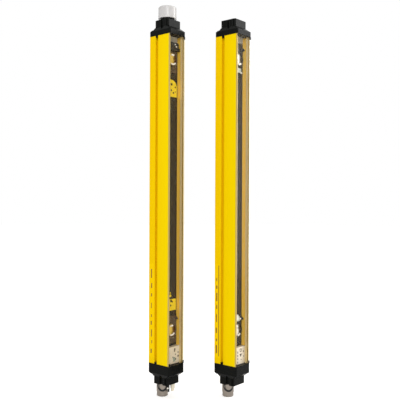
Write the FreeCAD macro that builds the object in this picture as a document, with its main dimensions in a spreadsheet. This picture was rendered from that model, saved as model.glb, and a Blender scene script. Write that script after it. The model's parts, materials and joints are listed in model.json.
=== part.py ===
"""Two-beam safety light curtain: an upright receiver bar with a signal lamp, and its sender bar.

Frame: millimetres, +Z up, windows towards -Y. The origin is the centre of the receiver's flat
rear face. Each bar is an extruded aluminium profile with a clear front screen, closed at both
ends by a moulded cap. Depths are measured from the rear face, so a depth d lies at y = -d.
"""
import FreeCAD, Part
import math
import os
import re

import Sketcher

Vector = FreeCAD.Vector
Rotation = FreeCAD.Rotation

# ---------------------------------------------------------------- driving dimensions
DIMENSIONS = (
    ("profile_width", 41, "profile, side to side"),
    ("profile_depth", 48, "profile, rear face to the front edge of its walls"),
    ("beam_spacing", 500, "between the two optical axes"),
    ("profile_wall", 2.5, "side and rear walls of the profile"),
    ("profile_corner", 1.2, "rounding of the profile's rear edges"),
    ("slot_opening", 6.5, "mouth of the side groove"),
    ("slot_centre", 18.2, "depth of the side groove's centre line"),
    ("slot_undercut", 10.1, "groove width behind the lips"),
    ("slot_lip", 2, "thickness of the groove's lips"),
    ("slot_depth", 6, "groove depth from the side face"),
    ("slot_web", 2, "wall behind the groove"),
    ("carrier_seat", 32.8, "depth of the ledges that carry the module carrier"),
    ("port_radius", 2, "screw ports in the profile"),
    ("port_inset", 4.6, "screw port centres from the side face"),
    ("port_edge", 3.5, "front screw ports behind the carrier ledges"),
    ("port_rear", 6.6, "depth of the rear screw ports"),
    ("screen_thickness", 3, "clear front screen"),
    ("screen_edge", 0.8, "rounding of the screen's front edges"),
    ("flange_reach", 4, "screen flanges behind the plate"),
    ("flange_thickness", 2, "screen flanges"),
    ("flange_gap", 0.1, "play between flange and wall"),
    ("cap_overhang", 0.6, "caps proud of the profile and screen"),
    ("top_skirt", 9.2, "straight part of the top cap"),
    ("bottom_skirt", 17.3, "straight part of the bottom cap"),
    ("skirt_corner", 2.5, "corner radius of the caps"),
    ("shoulder_height", 6.4, "sloped shoulder of the caps"),
    ("collar_width", 35, "square collar of the caps"),
    ("collar_height", 13.7, "collar of the caps"),
    ("collar_corner", 3, "corner radius of the collar"),
    ("collar_rim", 0.8, "rounding of the collar's rim"),
    ("collar_slot_width", 2.4, "moulded slots beside the collar's corners"),
    ("collar_slot_depth", 1.4, "moulded slots beside the collar's corners"),
    ("collar_slot_inset", 2.6, "slot centre from the collar's corner"),
    ("collar_rib_radius", 1.6, "round guide ribs beside the slots"),
    ("collar_rib_inset", 6.2, "rib axis from the collar's corner"),
    ("collar_rib_sunk", 1, "rib axis inside the collar's side face"),
    ("end_wall", 3.5, "end wall of the collar"),
    ("cap_room_width", 19.6, "hollow inside the caps"),
    ("cap_room_depth", 29, "hollow inside the caps"),
    ("gasket_thickness", 1, "end gaskets"),
    ("gasket_inset", 1.2, "gasket edge inside the profile's outline"),
    ("seat_step", 0.6, "screw seats below the top of the skirt"),
    ("seat_radius", 3.9, "spot faces for the screw heads"),
    ("clearance_radius", 2.2, "screw holes in caps and gaskets"),
    ("tongue_length", 3, "cap tongues in the side grooves"),
    ("tongue_gap", 0.15, "play round the tongues"),
    ("hook_width", 3, "cap hooks over the screen's corners"),
    ("hook_length", 5, "cap hooks over the screen's corners"),
    ("screw_head_radius", 3.4, "cap screws"),
    ("screw_head_height", 2.6, "cap screws"),
    ("screw_shank_radius", 1.9, "cap screws"),
    ("screw_bite", 8, "screw length in the profile"),
    ("screw_key_radius", 1.6, "hexagon socket, across corners / 2"),
    ("screw_key_depth", 1.4, "hexagon socket"),
    ("floor_thickness", 2, "face plate of the module carrier"),
    ("carrier_gap", 0.3, "play between carrier and profile"),
    ("leg_thickness", 2, "carrier legs"),
    ("leg_reach", 6, "carrier legs behind the face plate"),
    ("leg_gap", 0.6, "play between legs and the inner chamber"),
    ("ledge_width", 1.2, "ledges that carry the board"),
    ("ledge_thickness", 1.2, "ledges that carry the board"),
    ("board_seat", 29.5, "depth of the board's front face"),
    ("board_thickness", 1.6, "main circuit board"),
    ("board_gap", 0.2, "play between board and legs"),
    ("board_margin", 12, "board ends short of the profile's ends"),
    ("chip_width", 10, "components on the board"),
    ("chip_height", 2.4, "components on the board"),
    ("chip_pitch", 62, "components on the board"),
    ("plug_block_height", 4, "cable header on the board"),
    ("plug_block_margin", 1, "header wider than the ribbon cable, each side"),
    ("module_width", 30, "base plate of an optical module"),
    ("module_half_height", 25, "base plate of an optical module"),
    ("module_plate", 2, "base plate of an optical module"),
    ("lens_radius", 11, "lens"),
    ("lens_edge", 1.2, "lens rim thickness"),
    ("lens_dome", 1.7, "bulge of the lens"),
    ("lens_gap", 0.05, "play round the lens"),
    ("lens_ledge", 1, "ledge behind the lens"),
    ("lens_ring_wall", 1.6, "lens tube wall"),
    ("lens_ring_reach", 2.8, "lens tube in front of the module plate"),
    ("lens_seat_depth", 3, "lens recess in the tube"),
    ("funnel_wall", 1.5, "light funnel behind the lens"),
    ("funnel_gap", 1.4, "funnel end clear of the board"),
    ("funnel_exit", 4, "funnel bore at the diode"),
    ("wing_height", 7.4, "side wings of an optical module"),
    ("wing_offset", 16.6, "wing foot above the beam"),
    ("wing_reach", 5, "side wings of an optical module"),
    ("wing_thickness", 1.2, "side wings of an optical module"),
    ("wing_tip_low", 1.85, "lower end of a wing's outer edge, above its foot"),
    ("wing_tip_height", 0.75, "outer edge of a wing"),
    ("diode_radius", 2.5, "diodes"),
    ("diode_height", 2.8, "straight part of a diode"),
    ("panel_width", 28, "display panel"),
    ("panel_height", 36, "display panel"),
    ("panel_reach", 7, "display panel in front of the carrier"),
    ("panel_wall", 1.2, "display panel"),
    ("panel_corner", 1.5, "rounding of the panel's front edges"),
    ("panel_end_gap", 0.5, "display panel short of the profile's end"),
    ("panel_gap", 1, "between the display panel and the lower optical module"),
    ("light_radius", 1.3, "light pipes"),
    ("light_pitch", 6, "light pipes"),
    ("light_offset", 4.5, "light pipe row from the centre line"),
    ("light_proud", 0.2, "light pipes proud of the panel"),
    ("light_gap", 0.05, "play round the light pipes"),
    ("light_window", 18, "opening for the light pipes in the carrier"),
    ("block_height", 11.5, "top end block"),
    ("block_width", 30.6, "top end block"),
    ("block_proud", 1.8, "top end block in front of the carrier face"),
    ("block_gap", 6, "between the top end block and the upper optical module"),
    ("tag_thickness", 0.8, "module tags"),
    ("tag_width", 28, "module tags"),
    ("upper_tag_gap", 4, "upper tag below the upper optical module"),
    ("upper_tag_height", 24, "upper tag below its round top"),
    ("lower_tag_gap", 8, "lower tag above the lower optical module"),
    ("lower_tag_height", 20, "lower tag below its round top"),
    ("clip_width", 16, "optic clips of the sender"),
    ("clip_height", 8, "optic clips of the sender"),
    ("clip_thickness", 1.5, "optic clips of the sender"),
    ("clip_offset", 20, "clip centres from the beam"),
    ("connector_side", -3, "connector axis, x"),
    ("connector_depth", 19.4, "connector axis, depth"),
    ("barrel_radius", 11, "connector barrel"),
    ("barrel_length", 15.6, "connector barrel"),
    ("plug_ring_radius", 10.4, "round end of the connector"),
    ("plug_ring_length", 8.5, "round end of the connector"),
    ("plug_ring_round", 2, "rounded rim of the connector"),
    ("neck_radius", 6.5, "connector neck in the end wall"),
    ("neck_bore", 5.2, "bore of the neck"),
    ("hole_gap", 0.1, "play of necks in the end wall"),
    ("socket_radius", 8, "connector socket"),
    ("socket_depth", 16, "connector socket"),
    ("clip_groove_radius", 9.2, "U-shaped groove for the locking clip"),
    ("clip_groove_width", 1.8, "U-shaped groove for the locking clip"),
    ("clip_groove_depth", 1.1, "U-shaped groove for the locking clip"),
    ("clip_groove_drop", 4.1, "centre of the groove's bow below the cap"),
    ("insert_thickness", 5, "contact insert"),
    ("insert_gap", 0.05, "play of the insert in the shell"),
    ("insert_tail", 1.5, "insert proud of the neck"),
    ("pin_radius", 0.6, "contact pins"),
    ("pin_reach", 5.6, "contact pins in front of the insert"),
    ("pin_tail", 2, "contact pins behind the insert"),
    ("pin_circle", 3.9, "outer circle of contact pins"),
    ("inner_pin_circle", 1.5, "inner circle of contact pins"),
    ("seal_width", 1.8, "connector seal"),
    ("seal_thickness", 1, "connector seal"),
    ("port_plug_side", 7.8, "blanking plug axis, x"),
    ("port_plug_depth", 35.2, "blanking plug axis, depth"),
    ("port_plug_radius", 4, "blanking plug"),
    ("port_plug_length", 10, "blanking plug below the cap"),
    ("port_plug_neck", 1.8, "blanking plug neck"),
    ("port_plug_chamfer", 0.9, "blanking plug"),
    ("lamp_hole", 9.1, "round hole in the top caps"),
    ("lamp_neck", 9, "lamp and cover necks"),
    ("lamp_neck_bore", 7.5, "bore of the lamp's neck"),
    ("lamp_radius", 17, "signal lamp"),
    ("lamp_base_radius", 13, "lamp base"),
    ("lamp_base_height", 4, "lamp base"),
    ("lamp_spigot", 11.5, "spigot of the lamp base, inside the dome's lip"),
    ("lamp_lip", 2, "lip round the dome's foot"),
    ("lamp_height", 26, "lamp above the cap"),
    ("lamp_wall", 1.8, "lamp dome"),
    ("lamp_round", 3, "rounding of the dome's top"),
    ("lamp_gap", 0.1, "play between the dome's lip and the spigot"),
    ("lamp_board_radius", 12.5, "lamp board"),
    ("lamp_board_thickness", 1.6, "lamp board"),
    ("lamp_led_radius", 2.5, "lamp lights"),
    ("lamp_led_height", 6, "lamp lights"),
    ("lamp_led_circle", 7, "lamp lights"),
    ("cover_radius", 12.5, "blanking cover of the sender"),
    ("cover_height", 1.8, "blanking cover of the sender"),
    ("cover_chamfer", 0.6, "blanking cover of the sender"),
    ("ribbon_width", 8, "ribbon cable to the connector"),
    ("ribbon_thickness", 0.8, "ribbon cable to the connector"),
    ("ribbon_bend", 6, "bend radius of the ribbon cable"),
    ("sender_side", 78, "sender beside the receiver, x"),
    ("sender_front", 94, "sender in front of the receiver, -y"),
)
ALIASES = {alias for alias, value, meaning in DIMENSIONS}

doc = FreeCAD.newDocument("safety_light_curtain")
sheet = doc.addObject("Spreadsheet::Sheet", "Dimensions")
for row, (alias, value, meaning) in enumerate(DIMENSIONS, start=1):
    sheet.set(f"A{row}", meaning)
    sheet.set(f"B{row}", str(value))
    sheet.setAlias(f"B{row}", alias)
doc.recompute()

# ---------------------------------------------------------------- places named by formulas
UPPER_MARGIN = "(module_half_height + block_gap + block_height)"
LOWER_MARGIN = "(module_half_height + panel_gap + panel_height + panel_end_gap)"
FACE = f"((beam_spacing + {UPPER_MARGIN} + {LOWER_MARGIN}) / 2)"
BEAMS = {"upper": f"({FACE} - {UPPER_MARGIN})", "lower": f"({LOWER_MARGIN} - {FACE})"}
HALF_WIDTH = "(profile_width / 2)"
FRONT = "(profile_depth + screen_thickness)"
MID_DEPTH = f"({FRONT} / 2)"
CHAMBER = f"({HALF_WIDTH} - slot_depth - slot_web)"
PORT_X = f"({HALF_WIDTH} - port_inset)"
PORT_FRONT = "(carrier_seat - port_edge)"
FLOOR = "(carrier_seat + floor_thickness)"
MODULE_FACE = f"({FLOOR} + module_plate)"
TUBE_FRONT = f"({MODULE_FACE} + lens_ring_reach)"
LENS_BACK = f"({TUBE_FRONT} - lens_seat_depth)"
LEG_OUTER = f"({CHAMBER} - leg_gap)"
LEG_INNER = f"({LEG_OUTER} - leg_thickness)"
BOARD_HALF = f"({LEG_INNER} - board_gap)"
BOARD_BACK = "(board_seat - board_thickness)"
BOARD_END = f"({FACE} - board_margin)"
PANEL_FACE = f"({FLOOR} + panel_reach)"
PANEL_LOW = f"(panel_end_gap - {FACE})"
TOP_RIM = f"({FACE} + top_skirt + shoulder_height + collar_height)"
BOTTOM_RIM = f"({FACE} + bottom_skirt + shoulder_height + collar_height)"
COLLAR = "(collar_width / 2)"
PAST = "1"  # how far a cutting tool reaches past the face that it opens
INDICATOR_COUNT = 5
OUTER_PINS = 8
INNER_PINS = 3
LAMP_LEDS = 4
BOARD_CHIPS = 8
RIBBON_RUNS = 3


def from_sheet(formula):
    """Point every dimension that a formula names at its cell."""
    return re.sub(
        r"[a-z][a-z_]+",
        lambda word: "Dimensions." + word.group() if word.group() in ALIASES else word.group(),
        str(formula),
    )


def number(formula):
    """The present value of a formula."""
    return float(sheet.evalExpression(str(formula)))


def bind(thing, prop, formula):
    thing.setExpression(prop, from_sheet(formula))


def about(centre, half):
    """The span from centre - half to centre + half."""
    return f"({centre}) - ({half})", f"({centre}) + ({half})"


def depths(near, far):
    """The y span between two depths behind and in front, nearest to the rear face first."""
    return f"-({far})", f"-({near})"


def outward(end, low, high):
    """The z span between two heights above mid-length, mirrored for the bottom end."""
    return (low, high) if end > 0 else (f"-({high})", f"-({low})")


# ---------------------------------------------------------------- solids and booleans
homes = {}


def place(thing, x, y, z):
    homes[thing.Name] = (x, y, z)
    for axis, formula in zip("xyz", (x, y, z)):
        bind(thing, f"Placement.Base.{axis}", formula)


def block(x, y, z):
    """A block; x, y and z are (low, high) spans."""
    solid = doc.addObject("Part::Box", "block")
    for side, (low, high) in zip(("Length", "Width", "Height"), (x, y, z)):
        bind(solid, side, f"({high}) - ({low})")
    place(solid, x[0], y[0], z[0])
    return solid


ALONG_Y = Rotation(Vector(1, 0, 0), -90)
TO_NEAR_CORNER = Rotation(Vector(0, 0, 1), Vector(-1, -1, 0))


def rod(x, y, z, radius):
    """A cylinder along the one axis that is given as a (low, high) span: y or z."""
    solid = doc.addObject("Part::Cylinder", "rod")
    low, high = y if isinstance(y, tuple) else z
    if isinstance(y, tuple):
        solid.Placement = FreeCAD.Placement(Vector(), ALONG_Y)
        place(solid, x, low, z)
    else:
        place(solid, x, y, low)
    bind(solid, "Radius", radius)
    bind(solid, "Height", f"({high}) - ({low})")
    return solid


def cone(x, y, z, low_radius, high_radius):
    """A truncated cone along y."""
    solid = doc.addObject("Part::Cone", "cone")
    solid.Placement = FreeCAD.Placement(Vector(), ALONG_Y)
    place(solid, x, y[0], z)
    bind(solid, "Radius1", low_radius)
    bind(solid, "Radius2", high_radius)
    bind(solid, "Height", f"({y[1]}) - ({y[0]})")
    return solid


def ball(x, y, z, radius):
    solid = doc.addObject("Part::Sphere", "ball")
    place(solid, x, y, z)
    bind(solid, "Radius", radius)
    return solid


def fuse(*solids):
    if len(solids) == 1:
        return solids[0]
    joined = doc.addObject("Part::MultiFuse", "joined")
    joined.Shapes = list(solids)
    joined.Refine = True
    return joined


def cut(base, *tools):
    trimmed = doc.addObject("Part::Cut", "trimmed")
    trimmed.Base = base
    trimmed.Tool = fuse(*tools)
    trimmed.Refine = True
    return trimmed


def common(first, second):
    shared = doc.addObject("Part::Common", "shared")
    shared.Base = first
    shared.Tool = second
    return shared


def group(*solids):
    """Several separate solids kept as one sub-part."""
    together = doc.addObject("Part::Compound", "together")
    together.Links = list(solids)
    return together


# ---------------------------------------------------------------- sketches and features
def new_body():
    return doc.addObject("PartDesign::Body", "body")


def new_sketch(body, role, level="0"):
    """A sketch on one of the body's own planes, moved along the plane's normal."""
    sketch = body.newObject("Sketcher::SketchObject", "outline")
    origin_plane = next(item for item in body.Origin.OriginFeatures if item.Role == role)
    sketch.AttachmentSupport = [(origin_plane, "")]
    sketch.MapMode = "FlatFace"
    bind(sketch, "AttachmentOffset.Base.z", level)
    return sketch


def pin_point(sketch, element, point, x, y):
    """Tie a sketch point to formulas measured from the sketch's origin."""
    for kind, formula in (("DistanceX", x), ("DistanceY", y)):
        index = sketch.addConstraint(
            Sketcher.Constraint(kind, -1, 1, element, point, number(formula))
        )
        bind(sketch, f"Constraints[{index}]", formula)


def draw_polygon(sketch, corners):
    """A closed outline with a straight side from each corner to the next."""
    first = sketch.GeometryCount
    points = [Vector(number(x), number(y), 0) for x, y in corners]
    count = len(points)
    for index in range(count):
        sketch.addGeometry(Part.LineSegment(points[index], points[(index + 1) % count]), False)
    for index in range(count):
        following = first + (index + 1) % count
        sketch.addConstraint(Sketcher.Constraint("Coincident", first + index, 2, following, 1))
    for index, (x, y) in enumerate(corners):
        pin_point(sketch, first + index, 1, x, y)


def draw_rectangle(sketch, x, y):
    draw_polygon(sketch, [(x[0], y[0]), (x[1], y[0]), (x[1], y[1]), (x[0], y[1])])


def draw_circle(sketch, x, y, radius):
    index = sketch.addGeometry(
        Part.Circle(Vector(number(x), number(y), 0), Vector(0, 0, 1), number(radius)), False
    )
    pin_point(sketch, index, 3, x, y)
    size = sketch.addConstraint(Sketcher.Constraint("Radius", index, number(radius)))
    bind(sketch, f"Constraints[{size}]", radius)


def draw_rounded(sketch, x, y, radius):
    """A rectangle with four equal round corners."""
    low_x, high_x, low_y, high_y = (number(value) for value in (*x, *y))
    r = number(radius)
    sides = (
        (Vector(low_x + r, low_y, 0), Vector(high_x - r, low_y, 0)),
        (Vector(high_x, low_y + r, 0), Vector(high_x, high_y - r, 0)),
        (Vector(high_x - r, high_y, 0), Vector(low_x + r, high_y, 0)),
        (Vector(low_x, high_y - r, 0), Vector(low_x, low_y + r, 0)),
    )
    centres = (
        (x[1], y[0], 1, -1), (x[1], y[1], 1, 1), (x[0], y[1], -1, 1), (x[0], y[0], -1, -1),
    )
    first = sketch.GeometryCount
    for index, side in enumerate(sides):
        sketch.addGeometry(Part.LineSegment(*side), False)
        start, stop = side[1], sides[(index + 1) % 4][0]
        corner_x, corner_y, sign_x, sign_y = centres[index]
        centre = Vector(number(corner_x) - sign_x * r, number(corner_y) - sign_y * r, 0)
        bulge = centre + Vector(sign_x, sign_y, 0).normalize() * r
        sketch.addGeometry(Part.Arc(start, bulge, stop), False)
    for index in range(4):
        line, arc, following = (first + (2 * index + step) % 8 for step in range(3))
        sketch.addConstraint(Sketcher.Constraint("Tangent", line, 2, arc, 1))
        sketch.addConstraint(Sketcher.Constraint("Tangent", arc, 2, following, 1))
        corner_x, corner_y, sign_x, sign_y = centres[index]
        pin_point(
            sketch, arc, 3,
            f"({corner_x}) - ({sign_x}) * ({radius})", f"({corner_y}) - ({sign_y}) * ({radius})",
        )
    size = sketch.addConstraint(Sketcher.Constraint("Radius", first + 1, r))
    bind(sketch, f"Constraints[{size}]", radius)


def extrude(body, kind, sketch, z):
    """Pad or pocket an outline from z[0], where its sketch lies, up to z[1]."""
    feature = body.newObject(f"PartDesign::{kind}", kind.lower())
    feature.Profile = sketch
    feature.Reversed = kind == "Pocket"
    bind(feature, "Length", f"({z[1]}) - ({z[0]})")
    return feature


def pad_rectangles(body, spans, z, kind="Pad"):
    """Pad, or pocket, rectangles given as (x span, y span) between two heights."""
    sketch = new_sketch(body, "XY_Plane", z[0])
    for x, y in spans:
        draw_rectangle(sketch, x, y)
    return extrude(body, kind, sketch, z)


def pad_circles(body, centres, radius, z, kind="Pocket"):
    sketch = new_sketch(body, "XY_Plane", z[0])
    for x, y in centres:
        draw_circle(sketch, x, y, radius)
    return extrude(body, kind, sketch, z)


def round_edges(body, feature, radius, chosen):
    """Fillet the edges of a feature that a test picks."""
    doc.recompute()
    names = [
        f"Edge{index}" for index, edge in enumerate(feature.Shape.Edges, start=1) if chosen(edge)
    ]
    fillet = body.newObject("PartDesign::Fillet", "fillet")
    fillet.Base = (feature, names)
    bind(fillet, "Radius", radius)
    return fillet


def is_upright(edge):
    return abs(abs(edge.tangentAt(edge.FirstParameter).z) - 1) < 1e-6


def near(value, target):
    return abs(value - target) < 1e-4


def turned(section, x="0", y="0"):
    """A turned piece: its half section is a list of (radius, z) corners."""
    body = new_body()
    sketch = new_sketch(body, "XZ_Plane")
    draw_polygon(sketch, section)
    feature = body.newObject("PartDesign::Revolution", "turning")
    feature.Profile = sketch
    feature.ReferenceAxis = (sketch, ["V_Axis"])
    feature.Angle = 360
    place(body, x, y, "0")
    return body, feature


# ---------------------------------------------------------------- sub-parts
nodes = {}
solids_expected = {}


class Bar:
    """One upright bar: its name and where its own origin stands."""

    def __init__(self, name, x, y):
        self.name = name
        self.shift = (x, y, "0")

    def add(self, label, thing, solids=1):
        """Name a finished sub-part and stand it in this bar's place."""
        label = f"{self.name}_{label}"
        thing.Label = label
        home = homes.get(thing.Name, ("0", "0", "0"))
        place(thing, *(f"({own}) + ({shift})" for own, shift in zip(home, self.shift)))
        nodes[label] = thing
        solids_expected[label] = solids


def screw_points():
    """The four screw axes of an end cap, as (x, y)."""
    return [
        (f"{side} * {PORT_X}", f"-{depth}")
        for side in (-1, 1)
        for depth in (PORT_FRONT, "port_rear")
    ]


def both_sides(near_centre, far_from_centre):
    """The x span between two distances from the centre line, on each side."""
    return [
        (f"-({far_from_centre})", f"-({near_centre})"),
        (near_centre, far_from_centre),
    ]


def housing_profile():
    """Extrusion: window cavity in front, inner chamber behind, a T-groove in each side."""
    body = new_body()
    whole = (f"-{FACE}", FACE)
    outer = pad_rectangles(body, [(about(0, HALF_WIDTH), depths(0, "profile_depth"))], whole)
    round_edges(
        body, outer, "profile_corner", lambda edge: is_upright(edge) and near(edge.Vertexes[0].Y, 0)
    )
    cavity_y = depths("carrier_seat", f"profile_depth + {PAST}")
    pad_rectangles(body, [(about(0, f"{HALF_WIDTH} - profile_wall"), cavity_y)], whole, "Pocket")
    chamber_y = depths("profile_wall", f"carrier_seat + {PAST}")
    pad_rectangles(body, [(about(0, CHAMBER), chamber_y)], whole, "Pocket")
    mouth_y = about("-slot_centre", "slot_opening / 2")
    mouth_x = both_sides(f"{HALF_WIDTH} - slot_lip - {PAST}", f"{HALF_WIDTH} + {PAST}")
    pad_rectangles(body, [(x, mouth_y) for x in mouth_x], whole, "Pocket")
    undercut_y = about("-slot_centre", "slot_undercut / 2")
    undercut_x = both_sides(f"{HALF_WIDTH} - slot_depth", f"{HALF_WIDTH} - slot_lip")
    pad_rectangles(body, [(x, undercut_y) for x in undercut_x], whole, "Pocket")
    pad_circles(body, screw_points(), "port_radius", whole)
    return body


def front_screen():
    """Clear cover with a flange along each edge that stands inside the profile's walls."""
    body = new_body()
    whole = (f"-{FACE}", FACE)
    plate = pad_rectangles(body, [(about(0, HALF_WIDTH), depths("profile_depth", FRONT))], whole)
    round_edges(
        body, plate, "screen_edge",
        lambda edge: is_upright(edge) and near(edge.Vertexes[0].Y, -number(FRONT)),
    )
    outer = f"({HALF_WIDTH} - profile_wall - flange_gap)"
    flange_y = depths("profile_depth - flange_reach", "profile_depth")
    flanges = [(x, flange_y) for x in both_sides(f"{outer} - flange_thickness", outer)]
    pad_rectangles(body, flanges, whole)
    return body


def end_gasket(end):
    """Flat seal between the profile's end and the cap."""
    z = outward(end, FACE, f"{FACE} + gasket_thickness")
    plate_x = about(0, f"{HALF_WIDTH} - gasket_inset")
    plate = block(plate_x, depths("gasket_inset", f"{FRONT} - gasket_inset"), z)
    window = block(about(0, "cap_room_width / 2"), about(f"-{MID_DEPTH}", "cap_room_depth / 2"), z)
    holes = [rod(x, y, z, "clearance_radius") for x, y in screw_points()]
    return cut(plate, window, *holes)


def end_cap(end, skirt, holes):
    """Moulded cap: skirt, sloped shoulder and square collar, hollow, with four screw seats."""
    body = new_body()
    skirt_top = f"({FACE} + {skirt})"
    shoulder_top = f"({skirt_top} + shoulder_height)"
    rim = f"({shoulder_top} + collar_height)"
    skirt_x = about(0, f"{HALF_WIDTH} + cap_overhang")
    skirt_y = depths(0, f"{FRONT} + cap_overhang")
    collar_x = about(0, COLLAR)
    collar_y = about(f"-{MID_DEPTH}", COLLAR)

    skirt_z = outward(end, FACE, skirt_top)
    skirt_outline = new_sketch(body, "XY_Plane", skirt_z[0])
    draw_rounded(skirt_outline, skirt_x, skirt_y, "skirt_corner")
    extrude(body, "Pad", skirt_outline, skirt_z)

    sections = []
    for level, x, y, corner in (
        (skirt_top, skirt_x, skirt_y, "skirt_corner"),
        (shoulder_top, collar_x, collar_y, "collar_corner"),
    ):
        section = new_sketch(body, "XY_Plane", f"{end} * {level}")
        draw_rounded(section, x, y, corner)
        sections.append(section)
    shoulder = body.newObject("PartDesign::AdditiveLoft", "shoulder")
    shoulder.Profile = sections[0]
    shoulder.Sections = sections[1:]

    collar_z = outward(end, shoulder_top, rim)
    collar_outline = new_sketch(body, "XY_Plane", collar_z[0])
    draw_rounded(collar_outline, collar_x, collar_y, "collar_corner")
    collar = extrude(body, "Pad", collar_outline, collar_z)
    round_edges(
        body, collar, "collar_rim",
        lambda edge: near(edge.BoundBox.ZMin, end * number(rim)) and near(edge.BoundBox.ZLength, 0),
    )

    gasket_x = about(0, f"{HALF_WIDTH} - gasket_inset")
    gasket_y = depths("gasket_inset", f"{FRONT} - gasket_inset")
    recess_z = outward(end, FACE, f"{FACE} + gasket_thickness")
    pad_rectangles(body, [(gasket_x, gasket_y)], recess_z, "Pocket")
    room = (about(0, "cap_room_width / 2"), about(f"-{MID_DEPTH}", "cap_room_depth / 2"))
    pad_rectangles(body, [room], outward(end, FACE, f"{rim} - end_wall"), "Pocket")
    for centre, radius in holes:
        pad_circles(body, [centre], radius, outward(end, f"{rim} - end_wall", rim))
    seat = f"({skirt_top} - seat_step)"
    pad_circles(body, screw_points(), "clearance_radius", outward(end, FACE, rim))
    pad_circles(body, screw_points(), "seat_radius", outward(end, seat, rim))

    corners_y = [
        f"{side} * ({COLLAR} - ({{inset}})) - {MID_DEPTH}" for side in (-1, 1)
    ]
    slot_x = both_sides(f"{COLLAR} - collar_slot_depth", f"{COLLAR} + {PAST}")
    slots = [
        (x, about(y.format(inset="collar_slot_inset"), "collar_slot_width / 2"))
        for x in slot_x
        for y in corners_y
    ]
    pad_rectangles(body, slots, collar_z, "Pocket")
    ribs = [
        (f"{side} * ({COLLAR} - collar_rib_sunk)", y.format(inset="collar_rib_inset"))
        for side in (-1, 1)
        for y in corners_y
    ]
    rib_z = outward(end, shoulder_top, f"{rim} - collar_rim")
    pad_circles(body, ribs, "collar_rib_radius", rib_z, "Pad")

    tongue_z = outward(end, f"{FACE} - tongue_length", FACE)
    tongue_y = about("-slot_centre", "slot_opening / 2 - tongue_gap")
    tongue_x = both_sides(f"{HALF_WIDTH} - slot_depth + tongue_gap", HALF_WIDTH)
    pad_rectangles(body, [(x, tongue_y) for x in tongue_x], tongue_z)
    hook_z = outward(end, f"{FACE} - hook_length", FACE)
    hook_x = both_sides(f"{HALF_WIDTH} - hook_width", HALF_WIDTH)
    hook_y = depths(FRONT, f"{FRONT} + cap_overhang")
    pad_rectangles(body, [(x, hook_y) for x in hook_x], hook_z)
    return body


def cap_screws(end, skirt):
    """Four pan-head screws with hexagon sockets, from the cap into the profile's ports."""
    seat = f"({FACE} + {skirt} - seat_step)"
    head_top = f"({seat} + screw_head_height)"
    screws = []
    for x, y in screw_points():
        head = rod(x, y, outward(end, seat, head_top), "screw_head_radius")
        shank = rod(x, y, outward(end, f"{FACE} - screw_bite", seat), "screw_shank_radius")
        key_z = outward(end, f"{head_top} - screw_key_depth", head_top)
        key = doc.addObject("Part::Prism", "key")
        key.Polygon = 6
        bind(key, "Circumradius", "screw_key_radius")
        bind(key, "Height", "screw_key_depth")
        place(key, x, y, key_z[0])
        screws.append(cut(fuse(head, shank), key))
    return group(*screws)


def module_carrier():
    """Black chassis: face plate on the profile's ledges, two legs with ledges for the board."""
    body = new_body()
    z = (f"-{FACE}", f"{FACE} - block_height")
    face_x = about(0, f"{HALF_WIDTH} - profile_wall - carrier_gap")
    pad_rectangles(body, [(face_x, depths("carrier_seat", FLOOR))], z)
    leg_y = depths("carrier_seat - leg_reach", "carrier_seat")
    pad_rectangles(body, [(x, leg_y) for x in both_sides(LEG_INNER, LEG_OUTER)], z)
    ledge_y = depths("board_seat", "board_seat + ledge_thickness")
    ledge_x = both_sides(f"{LEG_INNER} - ledge_width", LEG_INNER)
    pad_rectangles(body, [(x, ledge_y) for x in ledge_x], z)
    through = depths(f"carrier_seat - leg_reach - {PAST}", f"{FLOOR} + {PAST}")
    funnel = "lens_radius - lens_ledge"
    bores = [rod("0", through, beam, funnel) for beam in BEAMS.values()]
    light_y = depths("board_seat + ledge_thickness", f"{FLOOR} + {PAST}")
    light_half = f"(light_pitch * {INDICATOR_COUNT} / 2)"
    middle = f"({PANEL_LOW} + panel_height / 2)"
    window = block(about(0, "light_window / 2"), light_y, about(middle, light_half))
    return cut(body, window, *bores)


def main_circuit_board():
    """Long board on the carrier's ledges, with its chips and the cable header behind."""
    z = (f"-{BOARD_END}", f"{BOARD_END}")
    board = block(about(0, BOARD_HALF), depths(BOARD_BACK, "board_seat"), z)
    parts = [board]
    for index in range(BOARD_CHIPS):
        height = f"({index} - {BOARD_CHIPS - 1} / 2) * chip_pitch"
        parts.append(
            block(
                about(0, "chip_width / 2"),
                depths(f"{BOARD_BACK} - chip_height", BOARD_BACK),
                about(height, "chip_width / 2"),
            )
        )
    parts.append(
        block(
            about("connector_side", "ribbon_width / 2 + plug_block_margin"),
            depths(f"{BOARD_BACK} - plug_block_height", BOARD_BACK),
            (f"-{BOARD_END}", f"chip_width - {BOARD_END}"),
        )
    )
    return fuse(*parts)


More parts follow.
